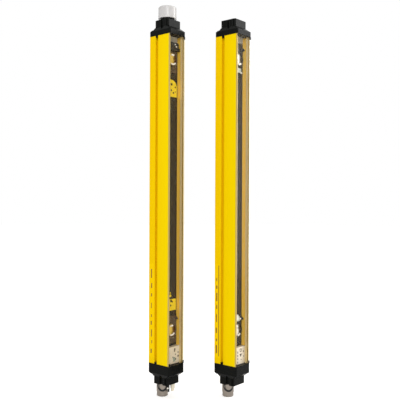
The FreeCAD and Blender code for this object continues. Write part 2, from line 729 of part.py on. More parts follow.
def lens_holder(beam):
    """Optical module: base plate, lens tube, light funnel towards the diode, two side wings."""
    plate = block(
        about(0, "module_width / 2"), depths(FLOOR, MODULE_FACE), about(beam, "module_half_height")
    )
    tube = rod("0", depths(MODULE_FACE, TUBE_FRONT), beam, "lens_radius + lens_gap + lens_ring_wall")
    exit_depth = "(board_seat + funnel_gap)"
    mouth = "(lens_radius - lens_ledge)"
    slope = f"(({mouth} - funnel_exit) / ({LENS_BACK} - {exit_depth}))"
    mouth_at_floor = f"(funnel_exit + {slope} * ({FLOOR} - {exit_depth}))"
    funnel = cone(
        "0", depths(exit_depth, FLOOR), beam,
        f"{mouth_at_floor} + funnel_wall", "funnel_exit + funnel_wall",
    )
    wings = []
    foot = f"({beam} + wing_offset)"
    for x in both_sides("module_width / 2 - wing_thickness", "module_width / 2"):
        wing = doc.addObject("Part::Wedge", "wing")
        for prop, formula in (
            ("Xmin", x[0]), ("X2min", x[0]), ("Xmax", x[1]), ("X2max", x[1]),
            ("Ymin", f"-({MODULE_FACE} + wing_reach)"), ("Ymax", f"-{MODULE_FACE}"),
            ("Zmin", f"{foot} + wing_tip_low"),
            ("Zmax", f"{foot} + wing_tip_low + wing_tip_height"),
            ("Z2min", foot), ("Z2max", f"{foot} + wing_height"),
        ):
            bind(wing, prop, formula)
        wings.append(wing)
    seat = rod("0", depths(LENS_BACK, TUBE_FRONT), beam, "lens_radius + lens_gap")
    bore = cone("0", depths(exit_depth, LENS_BACK), beam, mouth, "funnel_exit")
    return cut(fuse(plate, tube, funnel, *wings), seat, bore)


def lens(beam):
    """Plano-convex lens, flat side against the tube's ledge."""
    front = f"({LENS_BACK} + lens_edge + lens_dome)"
    sphere = "((lens_radius * lens_radius + lens_dome * lens_dome) / (2 * lens_dome))"
    disc = rod("0", depths(LENS_BACK, front), beam, "lens_radius")
    return common(disc, ball("0", f"{sphere} - {front}", beam, sphere))


def diode(beam):
    """Domed diode on the board, looking into the funnel."""
    face = "(board_seat + diode_height)"
    can = rod("0", depths("board_seat", face), beam, "diode_radius")
    return fuse(can, ball("0", f"-{face}", beam, "diode_radius"))


def indicator_places():
    """Centres of the light pipes, as (x, z), in one upright row."""
    middle = f"({PANEL_LOW} + panel_height / 2)"
    return [
        ("light_offset", f"{middle} + ({index} - {INDICATOR_COUNT - 1} / 2) * light_pitch")
        for index in range(INDICATOR_COUNT)
    ]


def display_panel():
    """Pale cover over the indicators: an open-backed shell with one hole for each light."""
    body = new_body()
    z = (PANEL_LOW, f"{PANEL_LOW} + panel_height")
    shell = pad_rectangles(body, [(about(0, "panel_width / 2"), depths(FLOOR, PANEL_FACE))], z)
    round_edges(
        body, shell, "panel_corner",
        lambda edge: near(edge.BoundBox.YMin, -number(PANEL_FACE)) and near(edge.BoundBox.YLength, 0),
    )
    room_y = depths(FLOOR, f"{PANEL_FACE} - panel_wall")
    room_x = about(0, "panel_width / 2 - panel_wall")
    room_z = (f"{z[0]} + panel_wall", f"{z[1]} - panel_wall")
    pad_rectangles(body, [(room_x, room_y)], room_z, "Pocket")
    through = depths(f"{PANEL_FACE} - panel_wall - {PAST}", f"{PANEL_FACE} + {PAST}")
    holes = [rod(x, through, height, "light_radius + light_gap") for x, height in indicator_places()]
    return cut(body, *holes)


def indicator_lights():
    """Light pipes from the board to just in front of the panel."""
    y = depths("board_seat", f"{PANEL_FACE} + light_proud")
    return group(*(rod(x, y, height, "light_radius") for x, height in indicator_places()))


def top_end_block():
    """Plug that closes the carrier's upper end."""
    z = (f"{FACE} - block_height", FACE)
    face = block(about(0, "block_width / 2"), depths("carrier_seat", f"{FLOOR} + block_proud"), z)
    tail_y = depths("carrier_seat - leg_reach", "carrier_seat")
    return fuse(face, block(about(0, LEG_OUTER), tail_y, z))


def connector_shell():
    """Turned metal shell with a neck, a socket and a U-shaped groove for the locking clip."""
    rim = f"-{BOTTOM_RIM}"
    shoulder = f"({rim} - barrel_length)"
    end = f"({shoulder} - plug_ring_length)"
    seal_outer = "(neck_radius + seal_width)"
    section = [
        ("neck_bore", f"{rim} + end_wall"),
        ("neck_radius", f"{rim} + end_wall"),
        ("neck_radius", f"{rim} - seal_thickness"),
        (seal_outer, f"{rim} - seal_thickness"),
        (seal_outer, rim),
        ("barrel_radius", rim),
        ("barrel_radius", shoulder),
        ("plug_ring_radius", shoulder),
        ("plug_ring_radius", end),
        ("socket_radius", end),
        ("socket_radius", f"{end} + socket_depth"),
        ("neck_bore", f"{end} + socket_depth"),
    ]
    body, turning = turned(section, "connector_side", "-connector_depth")
    round_edges(
        body, turning, "plug_ring_round",
        lambda edge: near(edge.BoundBox.ZMax, number(end))
        and near(edge.BoundBox.XLength, 2 * number("plug_ring_radius")),
    )
    bow_height = f"{rim} - clip_groove_drop"
    tools = []
    for radius in ("clip_groove_radius", "clip_groove_radius - clip_groove_width"):
        tool = doc.addObject("Part::Cylinder", "bow")
        tool.Placement = FreeCAD.Placement(Vector(), TO_NEAR_CORNER)
        place(tool, "connector_side", "-connector_depth", bow_height)
        bind(tool, "Radius", radius)
        bind(tool, "Height", f"barrel_radius + {PAST}")
        tools.append(tool)
    keep = rod(
        "connector_side", "-connector_depth", (end, f"{rim} + end_wall"),
        "barrel_radius - clip_groove_depth",
    )
    groove = cut(tools[0], fuse(tools[1], keep))
    return cut(body, groove)


def contact_insert():
    """Insulating insert that carries the contact pins."""
    end = f"(-{BOTTOM_RIM} - barrel_length - plug_ring_length)"
    back = f"({end} + socket_depth)"
    tail = f"(end_wall + insert_tail - {BOTTOM_RIM})"
    disc = rod(
        "connector_side", "-connector_depth", (f"{back} - insert_thickness", back),
        "socket_radius - insert_gap",
    )
    stem = rod("connector_side", "-connector_depth", (back, tail), "neck_bore - insert_gap")
    holes = [rod(x, y, (f"{back} - insert_thickness", tail), "pin_radius") for x, y in pin_places()]
    return cut(fuse(disc, stem), *holes)


def pin_places():
    """Centres of the contact pins, as (x, y), on two circles round the connector's axis."""
    places = []
    for count, radius in ((OUTER_PINS, "pin_circle"), (INNER_PINS, "inner_pin_circle")):
        for index in range(count):
            turn = 360 * index / count
            places.append(
                (
                    f"connector_side + {radius} * cos({turn} deg)",
                    f"{radius} * sin({turn} deg) - connector_depth",
                )
            )
    return places


def connector_pins():
    front = f"(-{BOTTOM_RIM} - barrel_length - plug_ring_length + socket_depth - insert_thickness)"
    tail = f"(end_wall + insert_tail + pin_tail - {BOTTOM_RIM})"
    z = (f"{front} - pin_reach", tail)
    return group(*(rod(x, y, z, "pin_radius") for x, y in pin_places()))


def connector_seal():
    """Flat ring between the connector's barrel and the cap."""
    z = (f"-{BOTTOM_RIM} - seal_thickness", f"-{BOTTOM_RIM}")
    centre = ("connector_side", "-connector_depth")
    return cut(rod(*centre, z, "neck_radius + seal_width"), rod(*centre, z, "neck_radius"))


def ribbon_cable():
    """Flat cable from the board's header, through the cap, to the back of the contact pins."""
    header = number(f"-{BOARD_END}")
    start_y = -number(f"{BOARD_BACK} - plug_block_height / 2")
    end_y = -number("connector_depth")
    end_z = number(f"end_wall + insert_tail + pin_tail - {BOTTOM_RIM}")
    bend = number("ribbon_bend")
    drop = (header - end_z) / RIBBON_RUNS
    route = [
        Vector(0, start_y, header),
        Vector(0, start_y, header - drop),
        Vector(0, end_y, end_z + drop),
        Vector(0, end_y, end_z),
    ]
    edges = []
    start = route[0]
    for before, corner, after in zip(route, route[1:], route[2:]):
        incoming = (corner - before).normalize()
        outgoing = (after - corner).normalize()
        half_turn = incoming.getAngle(outgoing) / 2
        reach = bend * math.tan(half_turn)
        first = corner - incoming * reach
        last = corner + outgoing * reach
        inward = (outgoing - incoming).normalize()
        shortcut = bend * (1 / math.cos(half_turn) - 1)
        edges.append(Part.LineSegment(start, first).toShape())
        edges.append(Part.Arc(first, corner + inward * shortcut, last).toShape())
        start = last
    edges.append(Part.LineSegment(start, route[-1]).toShape())
    half_width = number("ribbon_width") / 2
    half_thickness = number("ribbon_thickness") / 2
    corners = [
        Vector(across, start_y + along, header)
        for across, along in (
            (-half_width, -half_thickness), (half_width, -half_thickness),
            (half_width, half_thickness), (-half_width, half_thickness),
        )
    ]
    strip = Part.Wire(edges).makePipeShell([Part.makePolygon(corners + corners[:1])], True, False)
    cable = doc.addObject("Part::Feature", "ribbon")
    cable.Shape = strip
    place(cable, "connector_side", "0", "0")
    return cable


def blanking_plug():
    """Cream plug in the cap's second outlet."""
    rim = f"-{BOTTOM_RIM}"
    end = f"({rim} - port_plug_length)"
    section = [
        ("0", f"{rim} + end_wall"),
        ("port_plug_neck", f"{rim} + end_wall"),
        ("port_plug_neck", rim),
        ("port_plug_radius", rim),
        ("port_plug_radius", f"{end} + port_plug_chamfer"),
        ("port_plug_radius - port_plug_chamfer", end),
        ("0", end),
    ]
    return turned(section, "port_plug_side", "-port_plug_depth")[0]


def lamp_base():
    """Black adapter that seats the signal lamp in the top cap, with a spigot for the dome."""
    shoulder = f"({TOP_RIM} + lamp_base_height)"
    section = [
        ("lamp_neck_bore", f"{TOP_RIM} - end_wall"),
        ("lamp_neck", f"{TOP_RIM} - end_wall"),
        ("lamp_neck", TOP_RIM),
        ("lamp_base_radius", TOP_RIM),
        ("lamp_base_radius", shoulder),
        ("lamp_spigot", shoulder),
        ("lamp_spigot", f"{shoulder} + lamp_lip"),
        ("lamp_neck_bore", f"{shoulder} + lamp_lip"),
    ]
    return turned(section, "0", f"-{MID_DEPTH}")[0]


def lamp_dome():
    """Translucent cap of the signal lamp, with a lip round its foot that sits on the base."""
    low = f"({TOP_RIM} + lamp_base_height)"
    top = f"({TOP_RIM} + lamp_height)"
    inner = "(lamp_radius - lamp_wall)"
    section = [
        ("lamp_spigot + lamp_gap", low),
        ("lamp_radius", low),
        ("lamp_radius", top),
        ("0", top),
        ("0", f"{top} - lamp_wall"),
        (inner, f"{top} - lamp_wall"),
        (inner, f"{low} + lamp_lip"),
        ("lamp_spigot + lamp_gap", f"{low} + lamp_lip"),
    ]
    body, turning = turned(section, "0", f"-{MID_DEPTH}")
    round_edges(
        body, turning, "lamp_round",
        lambda edge: near(edge.BoundBox.ZMin, number(top)) and near(edge.BoundBox.ZLength, 0)
        and edge.BoundBox.XLength > 1,
    )
    return body


def lamp_board():
    """Round board with the lamp's light sources."""
    low = f"({TOP_RIM} + lamp_base_height + lamp_lip)"
    face = f"({low} + lamp_board_thickness)"
    top = f"({face} + lamp_led_height)"
    parts = [rod("0", f"-{MID_DEPTH}", (low, face), "lamp_board_radius")]
    for index in range(LAMP_LEDS):
        turn = 360 * index / LAMP_LEDS
        x = f"lamp_led_circle * cos({turn} deg)"
        y = f"lamp_led_circle * sin({turn} deg) - {MID_DEPTH}"
        parts.append(rod(x, y, (face, top), "lamp_led_radius"))
        parts.append(ball(x, y, top, "lamp_led_radius"))
    return fuse(*parts)


def blanking_cover():
    """Disc that closes the lamp hole of the sender."""
    top = f"({TOP_RIM} + cover_height)"
    section = [
        ("0", f"{TOP_RIM} - end_wall"),
        ("lamp_neck", f"{TOP_RIM} - end_wall"),
        ("lamp_neck", TOP_RIM),
        ("cover_radius", TOP_RIM),
        ("cover_radius", f"{top} - cover_chamfer"),
        ("cover_radius - cover_chamfer", top),
        ("0", top),
    ]
    return turned(section, "0", f"-{MID_DEPTH}")[0]


def module_tag(low, height):
    """Yellow tag on the carrier's face: a plate with a round top."""
    y = depths(FLOOR, f"{FLOOR} + tag_thickness")
    top = f"({low} + {height})"
    plate = block(about(0, "tag_width / 2"), y, (low, top))
    return fuse(plate, rod("0", y, top, "tag_width / 2"))


def optic_clip(beam, direction):
    """Small clip on an optical module's plate, above or below its lens."""
    middle = f"{beam} + ({direction}) * clip_offset"
    y = depths(MODULE_FACE, f"{MODULE_FACE} + clip_thickness")
    return block(about(0, "clip_width / 2"), y, about(middle, "clip_height / 2"))


# ---------------------------------------------------------------- the two bars
receiver = Bar("receiver", "0", "0")
sender = Bar("sender", "sender_side", "-sender_front")

LAMP_HOLE = ("0", f"-{MID_DEPTH}"), "lamp_hole"
CONNECTOR_HOLE = ("connector_side", "-connector_depth"), "neck_radius + hole_gap"
PLUG_HOLE = ("port_plug_side", "-port_plug_depth"), "port_plug_neck + hole_gap"
OUTLETS = {"receiver": [CONNECTOR_HOLE, PLUG_HOLE], "sender": [CONNECTOR_HOLE]}

for bar in (receiver, sender):
    bar.add("housing_profile", housing_profile())
    bar.add("front_screen", front_screen())
    bar.add("top_gasket", end_gasket(1))
    bar.add("bottom_gasket", end_gasket(-1))
    bar.add("top_end_cap", end_cap(1, "top_skirt", [LAMP_HOLE]))
    bar.add("bottom_end_cap", end_cap(-1, "bottom_skirt", OUTLETS[bar.name]))
    bar.add("top_cap_screws", cap_screws(1, "top_skirt"), solids=4)
    bar.add("bottom_cap_screws", cap_screws(-1, "bottom_skirt"), solids=4)
    bar.add("module_carrier", module_carrier())
    bar.add("main_circuit_board", main_circuit_board())
    for level, beam in BEAMS.items():
        bar.add(f"{level}_lens_holder", lens_holder(beam))
        bar.add(f"{level}_lens", lens(beam))
        bar.add(f"{level}_diode", diode(beam))
    bar.add("display_panel", display_panel())
    bar.add("indicator_lights", indicator_lights(), solids=INDICATOR_COUNT)
    bar.add("top_end_block", top_end_block())
    bar.add("connector_shell", connector_shell())
    bar.add("connector_insert", contact_insert())
    bar.add("connector_pins", connector_pins(), solids=OUTER_PINS + INNER_PINS)
    bar.add("connector_seal", connector_seal())
    bar.add("ribbon_cable", ribbon_cable())

receiver.add("lamp_base", lamp_base())
receiver.add("lamp_dome", lamp_dome())
receiver.add("lamp_board", lamp_board())
receiver.add("blanking_plug", blanking_plug())
upper_tag_low = (
    f"({BEAMS['upper']} - module_half_height - upper_tag_gap - tag_width / 2 - upper_tag_height)"
)
receiver.add("upper_module_tag", module_tag(upper_tag_low, "upper_tag_height"))
lower_tag_low = f"({BEAMS['lower']} + module_half_height + lower_tag_gap)"
receiver.add("lower_module_tag", module_tag(lower_tag_low, "lower_tag_height"))
sender.add("blanking_cover", blanking_cover())
sender.add("upper_optic_clip", optic_clip(BEAMS["upper"], -1))
sender.add("lower_optic_clip", optic_clip(BEAMS["lower"], 1))
doc.recompute()

# ---------------------------------------------------------------- checks and export
for thing in doc.Objects:
    if "Invalid" in thing.State or "Error" in thing.State:
        raise RuntimeError(f"{thing.Name} ({thing.Label}) failed: {thing.State}")
    if thing.TypeId == "PartDesign::Pocket":
        before = thing.BaseFeature.Shape.Volume
        if thing.Shape.Volume > before - 1e-3:
            raise RuntimeError(f"{thing.Name} cuts nothing")
for label, thing in nodes.items():
    shape = thing.Shape
    if shape.isNull() or not shape.isValid():
        raise RuntimeError(f"{label} has no valid shape")
    if len(shape.Solids) != solids_expected[label]:
        raise RuntimeError(f"{label} has {len(shape.Solids)} solids")

os.makedirs("parts", exist_ok=True)
for label, thing in nodes.items():
    thing.Shape.exportStep(f"parts/{label}.step")
print(f"{len(nodes)} sub-parts written")
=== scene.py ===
"""Safety light curtain: the looks of its receiver bar and its sender bar, round their CAD solids.

Everything is in metres, in the frame of the CAD model. The receiver's rear face is the plane y = 0,
its window looks along -Y, and the sender stands beside it, turned the same way. Plain numbers in the
tables, and in calls that take mm, are in mm.
"""

import json
import math
import random

import bmesh
import bpy
from mathutils import Matrix, Vector


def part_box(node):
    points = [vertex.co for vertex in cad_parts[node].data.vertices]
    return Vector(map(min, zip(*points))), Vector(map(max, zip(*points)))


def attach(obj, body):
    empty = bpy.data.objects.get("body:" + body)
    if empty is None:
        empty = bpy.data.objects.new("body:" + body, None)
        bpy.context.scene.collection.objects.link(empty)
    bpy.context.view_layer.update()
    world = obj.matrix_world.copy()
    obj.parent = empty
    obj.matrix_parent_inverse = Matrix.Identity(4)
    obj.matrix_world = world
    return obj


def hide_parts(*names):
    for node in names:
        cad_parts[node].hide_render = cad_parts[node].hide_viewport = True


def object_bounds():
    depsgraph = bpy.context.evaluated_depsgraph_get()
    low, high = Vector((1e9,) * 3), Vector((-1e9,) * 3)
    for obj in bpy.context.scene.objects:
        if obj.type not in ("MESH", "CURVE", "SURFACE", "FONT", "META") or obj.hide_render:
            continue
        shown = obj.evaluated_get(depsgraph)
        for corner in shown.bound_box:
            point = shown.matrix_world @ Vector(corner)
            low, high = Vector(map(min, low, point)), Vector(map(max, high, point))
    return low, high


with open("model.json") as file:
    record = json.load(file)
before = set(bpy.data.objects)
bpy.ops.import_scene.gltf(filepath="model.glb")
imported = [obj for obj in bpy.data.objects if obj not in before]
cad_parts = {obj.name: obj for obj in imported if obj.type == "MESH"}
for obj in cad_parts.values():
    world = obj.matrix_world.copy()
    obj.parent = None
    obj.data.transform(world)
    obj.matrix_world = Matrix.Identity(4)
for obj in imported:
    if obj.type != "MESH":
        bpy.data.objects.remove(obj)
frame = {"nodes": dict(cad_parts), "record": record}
cad_low, cad_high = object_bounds()

MM = 0.001
NODES = frame["nodes"]
BARS = ("receiver", "sender")
LEVELS = ("upper", "lower")


# ---------------------------------------------------------------- colours and nodes

# Sockets of a Mix node: its share, then its two colours and their blend, or its two numbers.
SHARE, COLOUR_A, COLOUR_B, BLEND = 0, 6, 7, 2
NUMBER_A, NUMBER_B = 2, 3
GLOSS_SPREAD = 0.06  # how far the roughness of a surface wanders to each side


def linear(code):
    """An sRGB hex colour as linear red, green, blue and a full alpha."""
    channels = (int(code[i : i + 2], 16) / 255 for i in (1, 3, 5))
    return (*(c / 12.92 if c <= 0.04045 else ((c + 0.055) / 1.055) ** 2.4 for c in channels), 1.0)


def add(tree, kind, inputs=None, **settings):
    """Adds a node with its settings. An input is a value, or the socket that feeds it."""
    made = tree.nodes.new(kind)
    for name, value in settings.items():
        setattr(made, name, value)
    for name, value in (inputs or {}).items():
        if isinstance(value, bpy.types.NodeSocket):
            tree.links.new(value, made.inputs[name])
        else:
            made.inputs[name].default_value = value
    return made


def blank(name):
    """A new material with an empty node tree and its output node."""
    material = bpy.data.materials.new(name)
    material.use_nodes = True
    material.node_tree.nodes.clear()
    return material, material.node_tree, material.node_tree.nodes.new("ShaderNodeOutputMaterial")


def grain(tree, size_mm, stretch=1.0, detail=2.0):
    """A noise whose spots are size_mm across, and stretch times as long along the bar."""
    place = add(tree, "ShaderNodeTexCoord").outputs["Object"]
    longer = add(tree, "ShaderNodeMapping", {"Vector": place, "Scale": (1, 1, 1 / stretch)})
    noise = add(
        tree,
        "ShaderNodeTexNoise",
        {"Vector": longer.outputs[0], "Scale": 1 / (size_mm * MM), "Detail": detail},
    )
    return noise.outputs["Fac"]


def finish(
    name, colour, shade, roughness, grain_mm, relief_mm, metal=0.0, stretch=1.0, patch_mm=40, **more
):
    """A solid surface: two near tones in broad patches, and a fine grain in relief and in gloss."""
    material, tree, out = blank(name)
    broad = grain(tree, patch_mm, stretch, detail=3.0)
    tones = {SHARE: broad, COLOUR_A: linear(colour), COLOUR_B: linear(shade)}
    tone = add(tree, "ShaderNodeMix", tones, data_type="RGBA")
    fine = grain(tree, grain_mm, stretch)
    gloss = add(
        tree,
        "ShaderNodeMapRange",
        {"Value": fine, "To Min": roughness - GLOSS_SPREAD, "To Max": roughness + GLOSS_SPREAD},
    )
    bump = add(
        tree, "ShaderNodeBump", {"Height": fine, "Distance": relief_mm * MM, "Strength": 1.0}
    )
    surface = add(
        tree,
        "ShaderNodeBsdfPrincipled",
        {
            "Base Color": tone.outputs[BLEND],
            "Metallic": metal,
            "Roughness": gloss.outputs[0],
            "Normal": bump.outputs[0],
            **more,
        },
    )
    tree.links.new(surface.outputs[0], out.inputs[0])
    return material


# ---------------------------------------------------------------- materials

# The grain of moulded, cast, plated and printed surfaces is about 0.1 mm in life, or less. It is drawn
# 0.3 to 1.6 mm wide, because a finer one would not show.

COAT_REAR, COAT_FRONT = 8 * MM, 46 * MM  # the coat's tone turns between these, from the rear face
CHANNEL_HALF = 18.2 * MM  # half the width of the window channel
CHANNEL_REAR = 33 * MM  # its rear end, from the rear face


def coat_material(bar):
    """Satin traffic-yellow powder coat with a faint orange peel.

    It is warm at the rear and lemon at the front edge. Inside the window channel a paler amber is
    painted on:
    painted light, for the colour that the walls throw back at each other.
    """
    material = finish(
        f"{bar}_powder_coated_aluminium",
        "#F4CC00",
        "#F0C402",
        0.5,
        grain_mm=1.4,
        relief_mm=0.012,
        stretch=3.0,
        patch_mm=90,
        **{"Specular IOR Level": 0.02},
    )
    tree = material.node_tree
    surface = next(node for node in tree.nodes if node.type == "BSDF_PRINCIPLED")
    rear_tone = surface.inputs["Base Color"].links[0].from_socket
    low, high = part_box(f"{bar}_housing_profile")
    rear_middle = (-(low.x + high.x) / 2, -high.y, 0)
    place = add(tree, "ShaderNodeTexCoord").outputs["Object"]
    centred = add(tree, "ShaderNodeMapping", {"Vector": place, "Location": rear_middle})
    spot = add(tree, "ShaderNodeSeparateXYZ", {"Vector": centred.outputs[0]})
    depth = spot.outputs["Y"]
    forward = add(
        tree,
        "ShaderNodeMapRange",
        {"Value": depth, "From Min": -COAT_REAR, "From Max": -COAT_FRONT},
    )
    tones = {SHARE: forward.outputs[0], COLOUR_A: rear_tone, COLOUR_B: linear("#F5D400")}
    outside = add(tree, "ShaderNodeMix", tones, data_type="RGBA")
    aside = add(tree, "ShaderNodeMath", {0: spot.outputs["X"]}, operation="ABSOLUTE")
    limits = {0: aside.outputs[0], 1: CHANNEL_HALF}
    between = add(tree, "ShaderNodeMath", limits, operation="LESS_THAN")
    limits = {0: depth, 1: -CHANNEL_REAR}
    in_front = add(tree, "ShaderNodeMath", limits, operation="LESS_THAN")
    limits = {0: between.outputs[0], 1: in_front.outputs[0]}
    inside = add(tree, "ShaderNodeMath", limits, operation="MULTIPLY")
    # Painted light: the channel walls take a paler amber, for the light they throw back at each other.
    tones = {SHARE: inside.outputs[0], COLOUR_A: outside.outputs[BLEND], COLOUR_B: linear("#FFCF50")}
    both = add(tree, "ShaderNodeMix", tones, data_type="RGBA")
    tree.links.new(both.outputs[BLEND], surface.inputs["Base Color"])
    return material


# Glass-filled nylon, moulded with a spark-eroded texture: near black, with a dull broken sheen.
black_nylon = finish(
    "glass_filled_nylon",
    "#131412",
    "#0A0B09",
    0.27,
    grain_mm=1.6,
    relief_mm=0.05,
    patch_mm=5,
    **{"Specular IOR Level": 0.05},
)
# Silicone rubber gasket, moulded matt.
rubber = finish("silicone_rubber", "#121212", "#181818", 0.8, grain_mm=0.6, relief_mm=0.02)
# Zinc-plated steel screws: bright, with small uneven patches in the plating.
zinc = finish(
    "zinc_plated_steel", "#B4B6BA", "#9EA0A4", 0.3, grain_mm=0.5, relief_mm=0.01, metal=1.0, patch_mm=3
)
# Black ABS chassis behind the screen, moulded matt, which looks brown in the light through the screen.
abs_floor = finish("black_abs_chassis", "#241F18", "#1C1813", 0.6, grain_mm=1.2, relief_mm=0.03)
# Optical module housing: black polycarbonate, moulded and blasted so that it swallows stray light.
module_black = finish("black_polycarbonate", "#1C1812", "#12100C", 0.65, grain_mm=0.8, relief_mm=0.03)
# Head of the receiver's upper module: the same, black dyed through.
deep_black = finish("dyed_polycarbonate", "#050506", "#030303", 0.5, grain_mm=0.8, relief_mm=0.03)
# Lens holder of the receiver: the same, with flow marks and dried potting resin round the lens.
module_mottled = finish(
    "black_polycarbonate_with_resin",
    "#6E5C4C",
    "#080706",
    0.4,
    grain_mm=2.2,
    relief_mm=0.1,
    patch_mm=2.6,
)
# Grey-beige sealing foam, cut: open pores.
foam = finish("grey_sealing_foam", "#B0A896", "#948C7B", 0.85, grain_mm=1.0, relief_mm=0.12, patch_mm=3)
# Ivory ABS cover of the indicators, moulded satin.
ivory_abs = finish("ivory_abs", "#E6DAC4", "#DCCDB2", 0.42, grain_mm=0.7, relief_mm=0.015, patch_mm=12)
# Smoked acrylic light pipes, polished.
smoked_acrylic = finish("smoked_acrylic", "#5A4E42", "#4A4038", 0.15, grain_mm=0.5, relief_mm=0.002)
# Nickel-plated brass connector, tumbled dull by handling.
nickel = finish(
    "nickel_plated_brass",
    "#948B82",
    "#7C746B",
    0.36,
    grain_mm=0.7,
    relief_mm=0.012,
    metal=1.0,
    patch_mm=6,
)
# Gold-plated contact pins, bright and smooth.
gold = finish(
    "gold_plated_pins", "#E0B868", "#CFA555", 0.25, grain_mm=0.3, relief_mm=0.003, metal=1.0, patch_mm=2
)
# Black polyamide contact insert of the connector, moulded satin.
insert_nylon = finish("black_contact_insert", "#151515", "#1B1B1B", 0.5, grain_mm=0.5, relief_mm=0.02)
# Grey PVC ribbon of the flat cable, extruded smooth.
ribbon_pvc = finish("grey_pvc_ribbon", "#9A9A9C", "#8C8C90", 0.45, grain_mm=0.6, relief_mm=0.01)
# Tinted epoxy of the infrared diodes, cast smooth: deep wine red, nearly black.
diode_epoxy = finish("tinted_epoxy", "#3A1410", "#260C0A", 0.12, grain_mm=0.8, relief_mm=0.001)
# Opal polycarbonate dome, moulded glossy: light goes a little way in and comes out soft.
opal = finish(
    "opal_polycarbonate",
    "#C8C5C3",
    "#C3C1C0",
    0.22,
    grain_mm=1.5,
    relief_mm=0.004,
    patch_mm=15,
    **{
        "Subsurface Weight": 0.35,
        "Subsurface Radius": (4 * MM, 4 * MM, 4.5 * MM),
        "Subsurface Scale": 1.0,
    },
)
# Cream polyethylene blanking plug, waxy and smooth.
cream_plug = finish("cream_polyethylene", "#F2E9D4", "#EADFC6", 0.5, grain_mm=0.8, relief_mm=0.015)
# Yellow printed film on the optical modules, smooth, with paler and deeper patches of print.
yellow_film = finish(
    "yellow_polyester_film", "#FFE636", "#EECA1E", 0.35, grain_mm=0.8, relief_mm=0.005, patch_mm=5
)
# Matt yellow vinyl of the label fields, a shade paler than the coat under it.
label_vinyl = finish(
    "yellow_vinyl_film",
    "#FAD404",
    "#F4C902",
    0.6,
    grain_mm=0.8,
    relief_mm=0.004,
    **{"Specular IOR Level": 0.02},
)
# Screen-printed ink, dark brown and slightly raised.
ink = finish("screen_printed_ink", "#3A2A12", "#24190A", 0.5, grain_mm=0.4, relief_mm=0.005, patch_mm=3)
# The same ink, printed thin over yellow, so that the yellow shines through.
thin_ink = finish(
    "thin_printed_ink", "#8A5604", "#6E4406", 0.55, grain_mm=0.5, relief_mm=0.004, patch_mm=4
)
# Grey-green tinted window in the indicator cover, smooth.
smoky_green = finish(
    "grey_green_acrylic", "#A9B09C", "#98A08C", 0.2, grain_mm=0.6, relief_mm=0.002, patch_mm=4
)
# White polypropylene of the clips' heads, satin.
clip_white = finish(
    "white_polypropylene", "#EDEBDD", "#C9CDBC", 0.4, grain_mm=0.8, relief_mm=0.01, patch_mm=4
)
# Painted highlights: polished white rims, beads and hooks, white all over where the real parts gather
# the light.
highlight_white = finish(
    "painted_highlight_white", "#FFFBF0", "#F2EBDC", 0.1, grain_mm=0.6, relief_mm=0.002, patch_mm=4
)
# Pale grey-green moulded clips beside the sender's lenses, satin.
pale_clip = finish("pale_grey_abs", "#C3C8B6", "#B4B9A8", 0.5, grain_mm=0.8, relief_mm=0.015)


TRACK_PITCH, TRACK_SHARE = 6 * MM, 0.03  # wider apart than in life, where they would not show


def board_material():
    """FR4 circuit board with green solder resist: copper tracks show through as paler lines."""
    material, tree, out = blank("green_solder_resist")
    place = add(tree, "ShaderNodeTexCoord").outputs["Object"]
    tracks = add(
        tree,
        "ShaderNodeTexBrick",
        {
            "Vector": place,
            "Color1": linear("#1F4A2C"),
            "Color2": linear("#1B4328"),
            "Mortar": linear("#3C7A4A"),
            "Scale": 1 / TRACK_PITCH,
            "Mortar Size": TRACK_SHARE,
        },
    )
    relief = add(tree, "ShaderNodeBump", {"Height": tracks.outputs["Fac"], "Distance": 0.03 * MM})
    surface = add(
        tree,
        "ShaderNodeBsdfPrincipled",
        {"Base Color": tracks.outputs["Color"], "Roughness": 0.28, "Normal": relief.outputs[0]},
    )
    tree.links.new(surface.outputs[0], out.inputs[0])
    return material


RIGHT_GLUE, LEFT_GLUE = 3.2 * MM, 1.5 * MM  # the glue under the screen's edges is uneven
RIM_HIGHLIGHT = 1.2 * MM  # width of the painted highlight on the rounded outer rim
SCREEN_FLANGE = 4 * MM  # reach of its flanges behind the plate
SCREEN_CLOUDS = 60  # size of the paler clouds in the milky edges, mm, and four times as long
PLATE_MIRROR = 0.06  # how soon the clear plate turns to a mirror as it is seen more from the side
PLATE_HAZE = 0.02  # what it hides, apart from that
GLUED_COVER, FLANGE_COVER = 0.85, 0.7  # what the glued edges and the flanges hide


